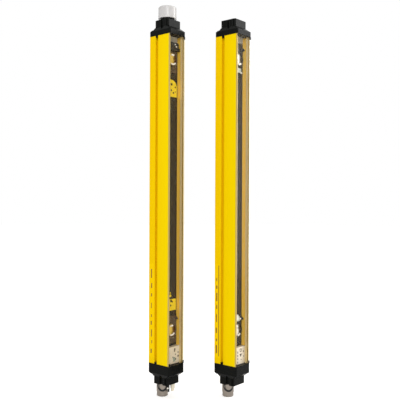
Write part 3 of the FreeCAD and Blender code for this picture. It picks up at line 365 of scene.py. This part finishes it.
def screen_material(bar):
    """Extruded clear polycarbonate: clear in front, milky where it is glued over the walls."""
    material, tree, out = blank(f"{bar}_clear_polycarbonate")
    low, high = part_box(f"{bar}_front_screen")
    half_width = (high.x - low.x) / 2
    place = add(tree, "ShaderNodeTexCoord").outputs["Object"]
    centred = add(
        tree, "ShaderNodeMapping", {"Vector": place, "Location": (-(low.x + high.x) / 2, 0, 0)}
    )
    spot = add(tree, "ShaderNodeSeparateXYZ", {"Vector": centred.outputs[0]})
    side = spot.outputs["X"]
    other_side = add(tree, "ShaderNodeMath", {0: side, 1: -1}, operation="MULTIPLY").outputs[0]
    zone_starts = {
        "right": (side, half_width - RIGHT_GLUE),
        "left": (other_side, half_width - LEFT_GLUE),
        "rim": (side, half_width - RIM_HIGHLIGHT),
        "flange": (spot.outputs["Y"], high.y - SCREEN_FLANGE),
    }
    zones = {}
    for zone, (value, start) in zone_starts.items():
        step = add(tree, "ShaderNodeMath", {0: value, 1: start}, operation="GREATER_THAN")
        zones[zone] = step.outputs[0]
    both_glued = {0: zones["right"], 1: zones["left"]}
    glued = add(tree, "ShaderNodeMath", both_glued, operation="MAXIMUM").outputs[0]
    clouds = grain(tree, SCREEN_CLOUDS, stretch=4.0)
    tones = {SHARE: clouds, COLOUR_A: linear("#FFEFC4"), COLOUR_B: linear("#F6E2B0")}
    milky = add(tree, "ShaderNodeMix", tones, data_type="RGBA").outputs[BLEND]
    # The outer rim is a painted highlight, in a paler tone.
    tones = {SHARE: zones["rim"], COLOUR_A: milky, COLOUR_B: linear("#FFF8C8")}
    right_tone = add(tree, "ShaderNodeMix", tones, data_type="RGBA").outputs[BLEND]
    tones = {SHARE: zones["left"], COLOUR_A: right_tone, COLOUR_B: linear("#BCA250")}
    edge_tone = add(tree, "ShaderNodeMix", tones, data_type="RGBA").outputs[BLEND]
    tones = {SHARE: glued, COLOUR_A: linear("#B8A67C"), COLOUR_B: edge_tone}
    plate_tone = add(tree, "ShaderNodeMix", tones, data_type="RGBA").outputs[BLEND]
    tones = {SHARE: zones["flange"], COLOUR_A: plate_tone, COLOUR_B: linear("#F2DEA4")}
    tone = add(tree, "ShaderNodeMix", tones, data_type="RGBA").outputs[BLEND]
    mirror = add(tree, "ShaderNodeLayerWeight", {"Blend": PLATE_MIRROR}).outputs["Fresnel"]
    clear = add(tree, "ShaderNodeMath", {0: mirror, 1: PLATE_HAZE}, operation="ADD").outputs[0]
    plate = add(tree, "ShaderNodeMix", {SHARE: glued, NUMBER_A: clear, NUMBER_B: GLUED_COVER})
    covers = {SHARE: zones["flange"], NUMBER_A: plate.outputs[0], NUMBER_B: FLANGE_COVER}
    cover = add(tree, "ShaderNodeMix", covers)
    surface = add(
        tree,
        "ShaderNodeBsdfPrincipled",
        {"Base Color": tone, "Roughness": 0.15, "Alpha": cover.outputs[0], "IOR": 1.58},
    )
    tree.links.new(surface.outputs[0], out.inputs[0])
    return material


# What shows in each bar's lenses, from their left side to their right: the receiver has a daylight
# filter behind them, which is amber, and the sender a pale reflector. Bright on the left and dark on
# the right is a painted reflection.
LENS_TONES = {"receiver": ("#F2CE62", "#5A3210"), "sender": ("#FFF6E4", "#4A4236")}
LENS_REFLECTION_NOISE = 5  # size of the noise spots that make the painted reflection's border ragged, mm
LENS_RAGGED = 0.7  # how far they shift the border, as a share of the lens's radius
LENS_BORDER = (0.2, 0.75)  # where the border starts and ends, right of the middle, as such shares


def lens_material(bar):
    """Moulded acrylic lens under a sharp gloss, with a painted reflection: bright on one side, dark on
    the other.
    """
    material, tree, out = blank(f"{bar}_acrylic_lens")
    low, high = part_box(f"{bar}_upper_lens")
    radius = (high.x - low.x) / 2
    middle = (low.x + high.x) / 2
    place = add(tree, "ShaderNodeTexCoord").outputs["Object"]
    across = add(tree, "ShaderNodeSeparateXYZ", {"Vector": place}).outputs["X"]
    reflection_rags = grain(tree, LENS_REFLECTION_NOISE, detail=1.0)
    shift = {0: reflection_rags, 1: radius * LENS_RAGGED, 2: across}
    shifted = add(tree, "ShaderNodeMath", shift, operation="MULTIPLY_ADD").outputs[0]
    start, end = (middle + share * radius for share in LENS_BORDER)
    side = add(tree, "ShaderNodeMapRange", {"Value": shifted, "From Min": start, "From Max": end})
    bright, dim = LENS_TONES[bar]
    tones = {SHARE: side.outputs[0], COLOUR_A: linear(bright), COLOUR_B: linear(dim)}
    tone = add(tree, "ShaderNodeMix", tones, data_type="RGBA").outputs[BLEND]
    surface = add(
        tree, "ShaderNodeBsdfPrincipled", {"Base Color": tone, "Roughness": 0.08, "Alpha": 0.9}
    )
    tree.links.new(surface.outputs[0], out.inputs[0])
    return material


FINISHES = {
    "gasket_rubber": rubber,
    "black_cap": black_nylon,
    "screw_steel": zinc,
    "carrier_black": abs_floor,
    "board_green": board_material(),
    "module_black": module_black,
    "diode_dark": diode_epoxy,
    "panel_ivory": ivory_abs,
    "light_pipe": smoked_acrylic,
    "block_grey": foam,
    "connector_metal": nickel,
    "insert_black": insert_nylon,
    "pin_gold": gold,
    "ribbon_grey": ribbon_pvc,
    "lamp_white": opal,
    "plug_cream": cream_plug,
    "tag_yellow": yellow_film,
    "clip_pale": pale_clip,
}
for bar in BARS:
    FINISHES[f"{bar}_yellow_profile"] = coat_material(bar)
    FINISHES[f"{bar}_clear_screen"] = screen_material(bar)
    FINISHES[f"{bar}_lens_clear"] = lens_material(bar)

# Nodes whose finish differs from the rest of their slot.
OWN_FINISHES = {f"receiver_{level}_lens_holder": module_mottled for level in LEVELS}

for part in frame["record"]["subparts"]:
    node, slot = part["node"], part["material_slot"]
    bar = node.split("_")[0]
    mesh = NODES[node].data
    mesh.materials.clear()
    mesh.materials.append(OWN_FINISHES.get(node) or FINISHES.get(slot) or FINISHES[f"{bar}_{slot}"])


# ---------------------------------------------------------------- making pieces

BEAD_TAPER = 0.7  # the top of a bead, as a share of its foot
STEP_TURN, FEWEST_STEPS = 9, 8  # degrees for each step of a bend, and the fewest steps in one


def new_piece(name, shape, material):
    """Turns a bmesh into an object at the origin, with its place in its mesh."""
    mesh = bpy.data.meshes.new(name)
    bmesh.ops.recalc_face_normals(shape, faces=shape.faces)
    shape.to_mesh(mesh)
    shape.free()
    mesh.materials.append(material)
    piece = bpy.data.objects.new(name, mesh)
    bpy.context.scene.collection.objects.link(piece)
    return piece


def solid(name, shape, material):
    """A new piece on the bars, which are one body."""
    piece = new_piece(name, shape, material)
    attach(piece, "root")
    return piece


def slab(low, high, edge):
    """A block between two corners, with its edges rounded."""
    shape = bmesh.new()
    low, high = Vector(low), Vector(high)
    bmesh.ops.create_cube(shape, size=1)
    bmesh.ops.scale(shape, verts=shape.verts, vec=high - low)
    bmesh.ops.translate(shape, verts=shape.verts, vec=(low + high) / 2)
    bmesh.ops.bevel(
        shape, geom=shape.edges[:], offset=edge, segments=2, profile=0.5, affect="EDGES", material=-1
    )
    return shape


def bent_bar(centre, inner, outer, depth, start=0, turn=360):
    """A flat bar bent round an axis along Y, from start degrees, counted from +X towards +Z."""
    shape = bmesh.new()
    corners = ((inner, 0), (outer, 0), (outer, depth), (inner, depth))
    end = [shape.verts.new(centre + Vector((radius, along, 0))) for radius, along in corners]
    for one, other in zip(end, end[1:] + end[:1]):
        shape.edges.new((one, other))
    bmesh.ops.rotate(
        shape, verts=shape.verts, cent=centre, matrix=Matrix.Rotation(math.radians(-start), 3, "Y")
    )
    closed = turn == 360
    bmesh.ops.spin(
        shape,
        geom=shape.verts[:] + shape.edges[:],
        cent=centre,
        axis=(0, -1, 0),
        angle=math.radians(turn),
        steps=max(FEWEST_STEPS, turn // STEP_TURN),
        use_merge=closed,
    )
    if not closed:
        bmesh.ops.holes_fill(shape, edges=shape.edges[:], sides=4)
    return shape


def low_cone(centre, foot, top, height, segments, turn):
    """A low cone between two radii, whose axis is turned from Z by turn degrees round X."""
    shape = bmesh.new()
    bmesh.ops.create_cone(
        shape,
        cap_ends=True,
        segments=segments,
        radius1=foot,
        radius2=top,
        depth=height,
        matrix=Matrix.Translation(centre) @ Matrix.Rotation(math.radians(turn), 4, "X"),
    )
    return shape


def bead(centre, radius, height, segments=16):
    """A low round bead on a face that looks along -Y, its top narrower than its foot."""
    return low_cone(centre, radius, radius * BEAD_TAPER, height, segments, turn=90)


# ---------------------------------------------------------------- lenses and optical modules

# Painted highlights on the clear rims of the lenses, in short arcs: name, start and turn in degrees,
# inner and outer radius as shares of the lens's.
RIM_ARCS = {
    "receiver": (("top", 62, 58, 0.58, 0.86), ("bottom", 246, 72, 0.72, 0.99)),
    "sender": (("bottom", 268, 48, 0.72, 0.99),),
}
ARC_DEPTH, ARC_PROUD = 0.4 * MM, 0.3 * MM


def rim_arcs(lens, arcs):
    """The painted highlights in arcs on the rim of one lens."""
    low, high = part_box(lens)
    radius = (high.x - low.x) / 2
    middle = (low + high) / 2
    centre = Vector((middle.x, low.y - ARC_PROUD, middle.z))
    for name, start, turn, inner, outer in arcs:
        arc = bent_bar(centre, radius * inner, radius * outer, ARC_DEPTH, start, turn)
        solid(f"{lens}_{name}_arc", arc, highlight_white)


for bar in BARS:
    for level in LEVELS:
        rim_arcs(f"{bar}_{level}_lens", RIM_ARCS[bar])


HEAD_RISE, HEAD_HEIGHT = 5.6, 15  # the head's top over the top of its lens holder, and its height
HEAD_PROUD, HEAD_SIDE, HEAD_REAR = 0.5, 1.6, 6  # before the holder's front, inside its side and rear
EAR_WIDTH, EAR_DEPTH, EAR_HEIGHT, EAR_ROOT = 2.6, 1.6, 6, 1
HEAD_BEADS = ((3.4, 27.0), (6.4, 23.2))  # x and z from the holder's middle
HEAD_BEAD_PROUD, HEAD_BEAD_RADIUS, HEAD_BEAD_HEIGHT = 0.3, 1.4, 0.8
SPECKS_PER_LENS, SPECK_SIDES = 18, 10
SPECK_TURN, SPECK_REACH = 85, (13.4, 17.5)  # to each side of +X in degrees; least and most radius
SPECK_RADII, SPECK_HEIGHT, SPECK_PROUD = (0.5, 1.2), 0.6, 0.4


def module_head():
    """The dark head of the receiver's upper module, with its ear and two white beads: painted
    highlights on its screws.
    """
    low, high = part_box("receiver_upper_lens_holder")
    middle = (low + high) / 2
    front, side = low.y - HEAD_PROUD * MM, high.x - HEAD_SIDE * MM
    top = high.z + HEAD_RISE * MM
    foot = top - HEAD_HEIGHT * MM
    head = slab((low.x, front, foot), (side, high.y - HEAD_REAR * MM, top), edge=0.6 * MM)
    solid("receiver_module_head", head, deep_black)
    ear_end = (side + EAR_WIDTH * MM, front + EAR_DEPTH * MM, foot + EAR_HEIGHT * MM)
    ear = slab((side - EAR_ROOT * MM, front, foot), ear_end, edge=0.1 * MM)
    solid("receiver_module_ear", ear, deep_black)
    for number, (x, z) in enumerate(HEAD_BEADS, 1):
        spot = (middle.x + x * MM, front - HEAD_BEAD_PROUD * MM, middle.z + z * MM)
        screw = bead(spot, HEAD_BEAD_RADIUS * MM, HEAD_BEAD_HEIGHT * MM)
        solid(f"receiver_module_bead_{number}", screw, highlight_white)


def module_specks():
    """Specks of solder and resin in an arc right of each of the receiver's lenses, cut off straight."""
    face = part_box("receiver_upper_lens")[1].y - SPECK_PROUD * MM
    draw = random.Random(4)
    for level in LEVELS:
        low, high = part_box(f"receiver_{level}_lens")
        centre = (low + high) / 2
        for number in range(1, SPECKS_PER_LENS + 1):
            turn = math.radians(draw.uniform(-SPECK_TURN, SPECK_TURN))
            reach = draw.uniform(*SPECK_REACH)
            x, z = min(reach * math.cos(turn), SPECK_REACH[0]), reach * math.sin(turn)
            radius = draw.uniform(*SPECK_RADII)
            tone = draw.choice((foam, nickel, thin_ink))
            spot = (centre.x + x * MM, face, centre.z + z * MM)
            speck = bead(spot, radius * MM, SPECK_HEIGHT * MM, SPECK_SIDES)
            solid(f"receiver_{level}_speck_{number}", speck, tone)


module_head()
module_specks()


TAG_OVERHANG = 1.5  # how far the tags reach past the CAD plates on each side
TAG_DOT_PROUD, TAG_DOT_DEPTH, TAG_DOT_SIDES = 0.1, 0.2, 12
TAG_STUD_HEIGHT = 1.2
# The receiver's tags: the ends of each in z, the bevel that arches its top, and its marks, each with
# its x from the tag's middle, its z and its radius.
TAGS = {
    "upper": (
        (191, 222.5),
        13.8,
        (
            (0.6, 203.0, 1.8),
            (6.3, 198.6, 1.8),
            (11.2, 201.0, 1.2),
            (11.2, 209.6, 1.6),
            (1.2, 214.0, 2.6),
        ),
    ),
    "lower": ((-205, -184), 2.0, ((2.2, -187.2, 2.6), (5.6, -189.0, 1.6), (1.4, -195.6, 1.9))),
}
TAG_STUDS = ((0.6, -177.6, 2.7), (0.4, -172.4, 1.4))  # above the lower tag: x, z, radius


def tag(level, span, arch, marks):
    """A yellow tag with an arched top and printed marks, in the place of the plain one."""
    node = f"receiver_{level}_module_tag"
    low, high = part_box(node)
    bottom, top = (z * MM for z in span)
    centre = Vector(((low.x + high.x) / 2, (low.y + high.y) / 2, (bottom + top) / 2))
    size = Vector((high.x - low.x + 2 * TAG_OVERHANG * MM, high.y - low.y, top - bottom))
    shape = bmesh.new()
    bmesh.ops.create_cube(shape, size=1)
    bmesh.ops.scale(shape, verts=shape.verts, vec=size)
    bmesh.ops.translate(shape, verts=shape.verts, vec=centre)
    top_corners = [
        edge
        for edge in shape.edges
        if all(vert.co.z > centre.z for vert in edge.verts)
        and abs(edge.verts[0].co.y - edge.verts[1].co.y) > size.y / 2
    ]
    bmesh.ops.bevel(
        shape,
        geom=top_corners,
        offset=arch * MM,
        segments=14,
        profile=0.5,
        affect="EDGES",
        material=-1,
    )
    piece = solid(f"receiver_{level}_tag", shape, yellow_film)
    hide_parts(node)
    for number, (x, z, radius) in enumerate(marks, 1):
        spot = (centre.x + x * MM, low.y - TAG_DOT_PROUD * MM, z * MM)
        mark = bead(spot, radius * MM, TAG_DOT_DEPTH * MM, TAG_DOT_SIDES)
        solid(f"receiver_{level}_tag_dot_{number}", mark, ink)


def lower_tag_studs():
    """Two round heads above the receiver's lower tag."""
    low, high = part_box("receiver_lower_module_tag")
    for number, (x, z, radius) in enumerate(TAG_STUDS, 1):
        spot = ((low.x + high.x) / 2 + x * MM, low.y, z * MM)
        stud = bead(spot, radius * MM, TAG_STUD_HEIGHT * MM)
        solid(f"receiver_tag_stud_{number}", stud, yellow_film)


for level in LEVELS:
    tag(level, *TAGS[level])
lower_tag_studs()


# ---------------------------------------------------------------- indicator covers

COVER_TOP = -270.5  # upper edge of the covers
COVER_HALF = 17.3  # half their width
COVER_PROUD = 1.7  # in front of the CAD panels
PRINT_LIFT, ARROW_LIFT, WINDOW_LIFT = 0.06, 0.02, 0.1  # of the marks' middles, or the window's front
PRINT_DEPTH, DOT_DEPTH = 0.15 * MM, 0.2 * MM

# Marks on the covers: x and z from the cover's middle, and sizes.
RING_AT, RING_RADII = (3.6, 9.4), (1.8 * MM, 3.1 * MM)
ARROW_AT, ARROW_FOOT, ARROW_TOP = (3.6, 0.8), 4.2 * MM, 4.0 * MM
LINE_COUNT, LINE_PITCH, LINE_AT, LINE_SIZE = 4, 6.0, (-6.4, 4.6), (2.0, 3.8)
WINDOW_AT, WINDOW_SIZE = (-0.4, -12.0), (6.5, 8.0)
COVER_DOTS = {
    "sender": ((12.4, 6.0, 1.3), (12.6, -3.0, 1.0), (5.2, -8.0, 0.9)),
    "receiver": (
        (4.4, 10.4, 1.7),
        (3.8, 7.4, 1.4),
        (6.4, 0.8, 1.1),
        (13.4, 3.6, 1.2),
        (13.6, -3.4, 1.7),
        (-0.6, -3.6, 1.2),
        (6.8, -8.0, 1.3),
    ),
}
DOT_SPREAD, DOT_SIDES = 1.25, 12  # printed dots run a little wider than drawn


def display_cover(bar):
    """The ivory indicator cover, as wide as the window, in the place of the plain panel."""
    node = f"{bar}_display_panel"
    low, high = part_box(node)
    middle = (low.x + high.x) / 2
    front = low.y - COVER_PROUD * MM
    near = (middle - COVER_HALF * MM, front, low.z)
    far = (middle + COVER_HALF * MM, high.y, COVER_TOP * MM)
    shape = slab(near, far, edge=0.5 * MM)
    cover = solid(f"{bar}_display_cover", shape, ivory_abs)
    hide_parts(node)
    return Vector((middle, front, (low.z + COVER_TOP * MM) / 2))


def panel_prints():
    """The prints round the indicators, a ring, an arrow, dots and scale lines, and a tinted window."""
    centres = {bar: display_cover(bar) for bar in BARS}

    def on(bar, x, z, proud=PRINT_LIFT):
        """A point just proud of a bar's cover."""
        return centres[bar] + Vector((x * MM, -proud * MM, z * MM))

    ring = bent_bar(on("sender", *RING_AT), *RING_RADII, PRINT_DEPTH)
    solid("sender_panel_ring", ring, ink)
    for number in range(LINE_COUNT):
        x, z = LINE_AT
        width, height = LINE_SIZE
        start = on("sender", x, z - LINE_PITCH * number)
        end = start + Vector((width * MM, PRINT_DEPTH, height * MM))
        line = slab(start, end, edge=0.05 * MM)
        solid(f"sender_panel_line_{number + 1}", line, ink)
    spot = on("sender", *ARROW_AT, ARROW_LIFT)
    arrow = low_cone(spot, ARROW_FOOT, ARROW_TOP, DOT_DEPTH, segments=3, turn=-90)
    solid("sender_panel_arrow", arrow, ink)
    for bar, spots in COVER_DOTS.items():
        for number, (x, z, radius) in enumerate(spots, 1):
            dot = bead(on(bar, x, z), DOT_SPREAD * radius * MM, DOT_DEPTH, DOT_SIDES)
            solid(f"{bar}_panel_dot_{number}", dot, ink)
    near = on("receiver", *WINDOW_AT, WINDOW_LIFT)
    width, height = WINDOW_SIZE
    window = slab(near, near + Vector((width * MM, DOT_DEPTH, height * MM)), edge=0.08 * MM)
    solid("receiver_panel_window", window, smoky_green)


panel_prints()


CLIP_HEAD_AT = (-1, -0.6, -1.2)  # from the middle of the clip's upper front edge
CLIP_HEAD_RADIUS, CLIP_HEAD_HEIGHT, CLIP_HEAD_SIDES = 6.2, 1.4, 24
HOOK_LOW, HOOK_HIGH = (-1.5, -1.2, -1.6), (2.4, 0.6, 1.4)  # corners, from the clip's right front edge


def optic_clip_ends():
    """The white head of the sender's lower clip, and the hook at the end of each clip, white all over
    as a painted highlight.
    """
    low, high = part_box("sender_lower_optic_clip")
    centre = Vector(((low.x + high.x) / 2, low.y, high.z)) + Vector(CLIP_HEAD_AT) * MM
    head = bead(centre, CLIP_HEAD_RADIUS * MM, CLIP_HEAD_HEIGHT * MM, CLIP_HEAD_SIDES)
    solid("sender_lower_clip_head", head, clip_white)
    for level in LEVELS:
        low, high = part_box(f"sender_{level}_optic_clip")
        end = Vector((high.x, low.y, low.z if level == "upper" else (low.z + high.z) / 2))
        hook = slab(end + Vector(HOOK_LOW) * MM, end + Vector(HOOK_HIGH) * MM, edge=0.5 * MM)
        solid(f"sender_{level}_clip_hook", hook, highlight_white)


optic_clip_ends()


# ---------------------------------------------------------------- label fields

LABEL_SPAN = (-292, -118)  # the fields' lower and upper end
LABEL_REAR, LABEL_FRONT = 2.2, 13.4  # their rear and front edge, from the rear face
LABEL_THICKNESS, INK_THICKNESS = 0.1, 0.03
# How far behind the field's front edge its rule runs, and how far in front of its rear edge the
# middles of its bars are at least. The receiver's field has no rule.
LABEL_LINES = {"receiver": (None, 4.6), "sender": (3.0, 2.4)}
RULE_WIDTH, RULE_MARGIN = 1.5, 3
BAR_LENGTHS, BAR_WIDTHS, BAR_GAPS, BAR_DRIFT = (5, 18), (1.4, 3.0), (5, 12), 1.6
# From the field's lower end to the foot of the first bar, and least room from the foot of the last
# one to its upper end.
FIRST_BAR, LAST_BAR = 8, 20


def label_field(bar):
    """A vinyl field on the bar's side, behind the groove, with a plain rule and plain bars in it."""
    low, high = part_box(f"{bar}_housing_profile")
    side = low.x - LABEL_THICKNESS * MM
    rear, front = high.y - LABEL_REAR * MM, high.y - LABEL_FRONT * MM
    bottom, top = LABEL_SPAN
    field = slab((side, front, bottom * MM), (low.x, rear, top * MM), edge=0.04 * MM)
    solid(f"{bar}_label_field", field, label_vinyl)
    print_face = side - INK_THICKNESS * MM
    rule, inset = LABEL_LINES[bar]

    def bar_print(name, y, z, width, height):
        """One printed bar: its middle y in metres, the rest in mm."""
        half = width * MM / 2
        near, far = (print_face, y - half, z * MM), (side, y + half, (z + height) * MM)
        shape = slab(near, far, edge=0.01 * MM)
        solid(f"{bar}_label_{name}", shape, thin_ink)

    if rule:
        rule_length = top - bottom - 2 * RULE_MARGIN
        bar_print("rule", front + rule * MM, bottom + RULE_MARGIN, RULE_WIDTH, rule_length)
    draw = random.Random(len(bar))
    level = bottom + FIRST_BAR
    number = 0
    while level < top - LAST_BAR:
        number += 1
        length = draw.uniform(*BAR_LENGTHS)
        width = draw.uniform(*BAR_WIDTHS)
        y = rear - (inset + draw.uniform(0, BAR_DRIFT)) * MM
        bar_print(f"bar_{number}", y, level, width, length)
        level += length + draw.uniform(*BAR_GAPS)


for bar in BARS:
    label_field(bar)


# ---------------------------------------------------------------- plug and connectors

GRIP_LOW, GRIP_HIGH = (-3.2, -1.4, -5.2), (3.2, 1.4, 1.0)  # corners, from the plug's lower end
STRAP_AT = (-9.4, 1.6)  # its middle, from the plug's axis
STRAP_HALF, STRAP_LENGTH = (1.7, 1.2), 15.4  # half its width and thickness; its length
STRAP_BEAD_AT, STRAP_BEAD_RADIUS = (-1.8, 0.2, -8.4), 1.8  # from the strap's upper end


def plug_strap():
    """The grip of the receiver's blanking plug, and the rubber strap beside it, whose white bead is a
    painted highlight.
    """
    low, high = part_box("receiver_blanking_plug")
    axis = (low + high) / 2
    end = Vector((axis.x, axis.y, low.z))
    grip = slab(end + Vector(GRIP_LOW) * MM, end + Vector(GRIP_HIGH) * MM, edge=0.5 * MM)
    solid("receiver_plug_grip", grip, cream_plug)
    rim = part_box("receiver_bottom_end_cap")[0].z
    top = Vector((axis.x, axis.y, rim)) + Vector((*STRAP_AT, 0)) * MM
    half = Vector((*STRAP_HALF, 0)) * MM
    strap = slab(top - half - Vector((0, 0, STRAP_LENGTH * MM)), top + half, edge=0.6 * MM)
    solid("receiver_plug_strap", strap, rubber)
    knob = bmesh.new()
    place = Matrix.Translation(top + Vector(STRAP_BEAD_AT) * MM)
    bmesh.ops.create_icosphere(knob, subdivisions=3, radius=STRAP_BEAD_RADIUS * MM, matrix=place)
    solid("receiver_plug_strap_bead", knob, highlight_white)


plug_strap()


SHADOW_DROP, SHADOW_BOW, SHADOW_WIDTH = 4.6 * MM, 5.8 * MM, 3.7 * MM  # straight legs, inner radius, width
SHADOW_PROUD, SHADOW_THICKNESS = 0.15 * MM, 0.3 * MM
SHADOW_TURN = math.radians(-45)  # where on the shell the U lies, round from its front
BOW_STEPS, LEG_STEPS = 24, 3
SAME_HEIGHT = 0.01 * MM  # two heights closer than this are one


def painted_groove_shadow(bar):
    """A painted shadow: a dark strip in the U-shaped groove of the connector, where its shade falls,
    bent round its shell.
    """
    low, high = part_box(f"{bar}_connector_shell")
    axis = (low + high) / 2
    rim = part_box(f"{bar}_bottom_end_cap")[0].z
    reach = (high.x - low.x) / 2 + SHADOW_PROUD
    strip = bmesh.new()
    foot = [strip.verts.new((-SHADOW_BOW - step, 0, -SHADOW_DROP)) for step in (0, SHADOW_WIDTH)]
    strip.edges.new(foot)
    bmesh.ops.spin(
        strip,
        geom=strip.verts[:] + strip.edges[:],
        cent=(0, 0, -SHADOW_DROP),
        axis=(0, -1, 0),
        angle=math.radians(180),
        steps=BOW_STEPS,
    )
    ends = [
        edge
        for edge in strip.edges
        if all(abs(vert.co.z + SHADOW_DROP) < SAME_HEIGHT for vert in edge.verts)
    ]
    for _ in range(LEG_STEPS):
        grown = bmesh.ops.extrude_edge_only(strip, edges=ends)["geom"]
        rise = [item for item in grown if isinstance(item, bmesh.types.BMVert)]
        bmesh.ops.translate(strip, verts=rise, vec=(0, 0, SHADOW_DROP / LEG_STEPS))
        ends = [edge for edge in strip.edges if all(vert in rise for vert in edge.verts)]
    for vert in strip.verts:
        vert.co.y = -math.sqrt(reach**2 - vert.co.x**2)
    bmesh.ops.recalc_face_normals(strip, faces=strip.faces)
    bmesh.ops.solidify(strip, geom=strip.faces[:], thickness=SHADOW_THICKNESS)
    bmesh.ops.rotate(strip, verts=strip.verts, matrix=Matrix.Rotation(SHADOW_TURN, 3, "Z"))
    bmesh.ops.translate(strip, verts=strip.verts, vec=(axis.x, axis.y, rim))
    # painted shadow, made in the dark rubber finish
    solid(f"{bar}_connector_clip_wire", strip, rubber)


for bar in BARS:
    painted_groove_shadow(bar)


# ---------------------------------------------------------------- floor, light and camera

FLOOR_RADIUS = 8.0  # metres
FLOOR_GLOW = 0.45  # lifts the paper to white wherever no shadow falls
ROOM_LIGHT = 0.72  # what the pale room gives to every side


def background_rays(tree):
    """1 for the rays that show a background: the camera's, and mirrored and let through ones."""
    rays = add(tree, "ShaderNodeLightPath")
    seen = rays.outputs["Is Camera Ray"]
    for kind in ("Is Glossy Ray", "Is Transmission Ray"):
        either = {0: seen, 1: rays.outputs[kind]}
        seen = add(tree, "ShaderNodeMath", either, operation="MAXIMUM").outputs[0]
    return seen


def paper_floor():
    """White paper sweep: it shows the bars' shadow, and is pure white elsewhere."""
    material, tree, out = blank("white_paper")
    tones = {SHARE: grain(tree, 4), COLOUR_A: linear("#F4F4F4"), COLOUR_B: linear("#EFEFEF")}
    tone = add(tree, "ShaderNodeMix", tones, data_type="RGBA").outputs[BLEND]
    sheet = add(tree, "ShaderNodeBsdfDiffuse", {"Color": tone})
    seen = {0: background_rays(tree), 1: FLOOR_GLOW}
    strength = add(tree, "ShaderNodeMath", seen, operation="MULTIPLY")
    glow = add(tree, "ShaderNodeEmission", {"Strength": strength.outputs[0]})
    both = add(tree, "ShaderNodeAddShader", {0: sheet.outputs[0], 1: glow.outputs[0]})
    tree.links.new(both.outputs[0], out.inputs[0])
    return material


disc = bmesh.new()
bmesh.ops.create_circle(disc, cap_ends=True, segments=64, radius=FLOOR_RADIUS)
bmesh.ops.translate(disc, verts=disc.verts, vec=(0, 0, cad_low.z))
new_piece("paper_floor", disc, paper_floor())

world = bpy.data.worlds.new("white_studio")
world.use_nodes = True
sky = world.node_tree
sky.nodes.clear()
strength = add(
    sky,
    "ShaderNodeMapRange",
    {"Value": background_rays(sky), "To Min": ROOM_LIGHT, "To Max": 1.0},
)
white = {"Color": linear("#FFFFFF"), "Strength": strength.outputs[0]}
room = add(sky, "ShaderNodeBackground", white)
wall = sky.nodes.new("ShaderNodeOutputWorld")
sky.links.new(room.outputs[0], wall.inputs[0])
bpy.context.scene.world = world


def softbox(name, place, power, width, height):
    """A rectangular studio lamp that points at the middle of the bars."""
    lamp = bpy.data.lights.new(name, "AREA")
    lamp.shape = "RECTANGLE"
    lamp.energy, lamp.size, lamp.size_y = power, width, height
    lamp_object = bpy.data.objects.new(name, lamp)
    lamp_object.location = place
    middle = (cad_low + cad_high) / 2
    lamp_object.rotation_euler = (middle - Vector(place)).to_track_quat("-Z", "Y").to_euler()
    bpy.context.scene.collection.objects.link(lamp_object)


# The lamps' places and sizes are in metres, and their powers in watts. The second one stands where
# the caps and the screens mirror it, and gives them their sheen.
softbox("key_softbox", (-1.9, -1.8, 0.8), 29, 1.6, 1.6)
softbox("gloss_softbox", (1.6, -1.4, 0.0), 44, 0.6, 3.2)

VIEW_FROM_FRONT = math.radians(50)  # the camera looks at the window from this far round to the left
VIEW_DISTANCE = 1.1843  # metres, as VIEW_SHIFT is
VIEW_SHIFT = 0.0815  # from the receiver's middle to the middle between the bars, across the view
VIEW_ROLL = math.radians(0.25)
LENS, SENSOR = 56.5, 36.0  # focal length and width

ahead = Vector((math.sin(VIEW_FROM_FRONT), math.cos(VIEW_FROM_FRONT), 0))
right = Vector((math.cos(VIEW_FROM_FRONT), -math.sin(VIEW_FROM_FRONT), 0))
camera = bpy.data.objects.new("camera", bpy.data.cameras.new("camera"))
camera.data.lens, camera.data.sensor_width = LENS, SENSOR
camera.location = right * VIEW_SHIFT - ahead * VIEW_DISTANCE
level_view = ahead.to_track_quat("-Z", "Y").to_matrix()
camera.rotation_euler = (level_view @ Matrix.Rotation(VIEW_ROLL, 3, "Z")).to_euler()
bpy.context.scene.collection.objects.link(camera)
bpy.context.scene.camera = camera
bpy.context.scene.view_settings.view_transform = "Standard"
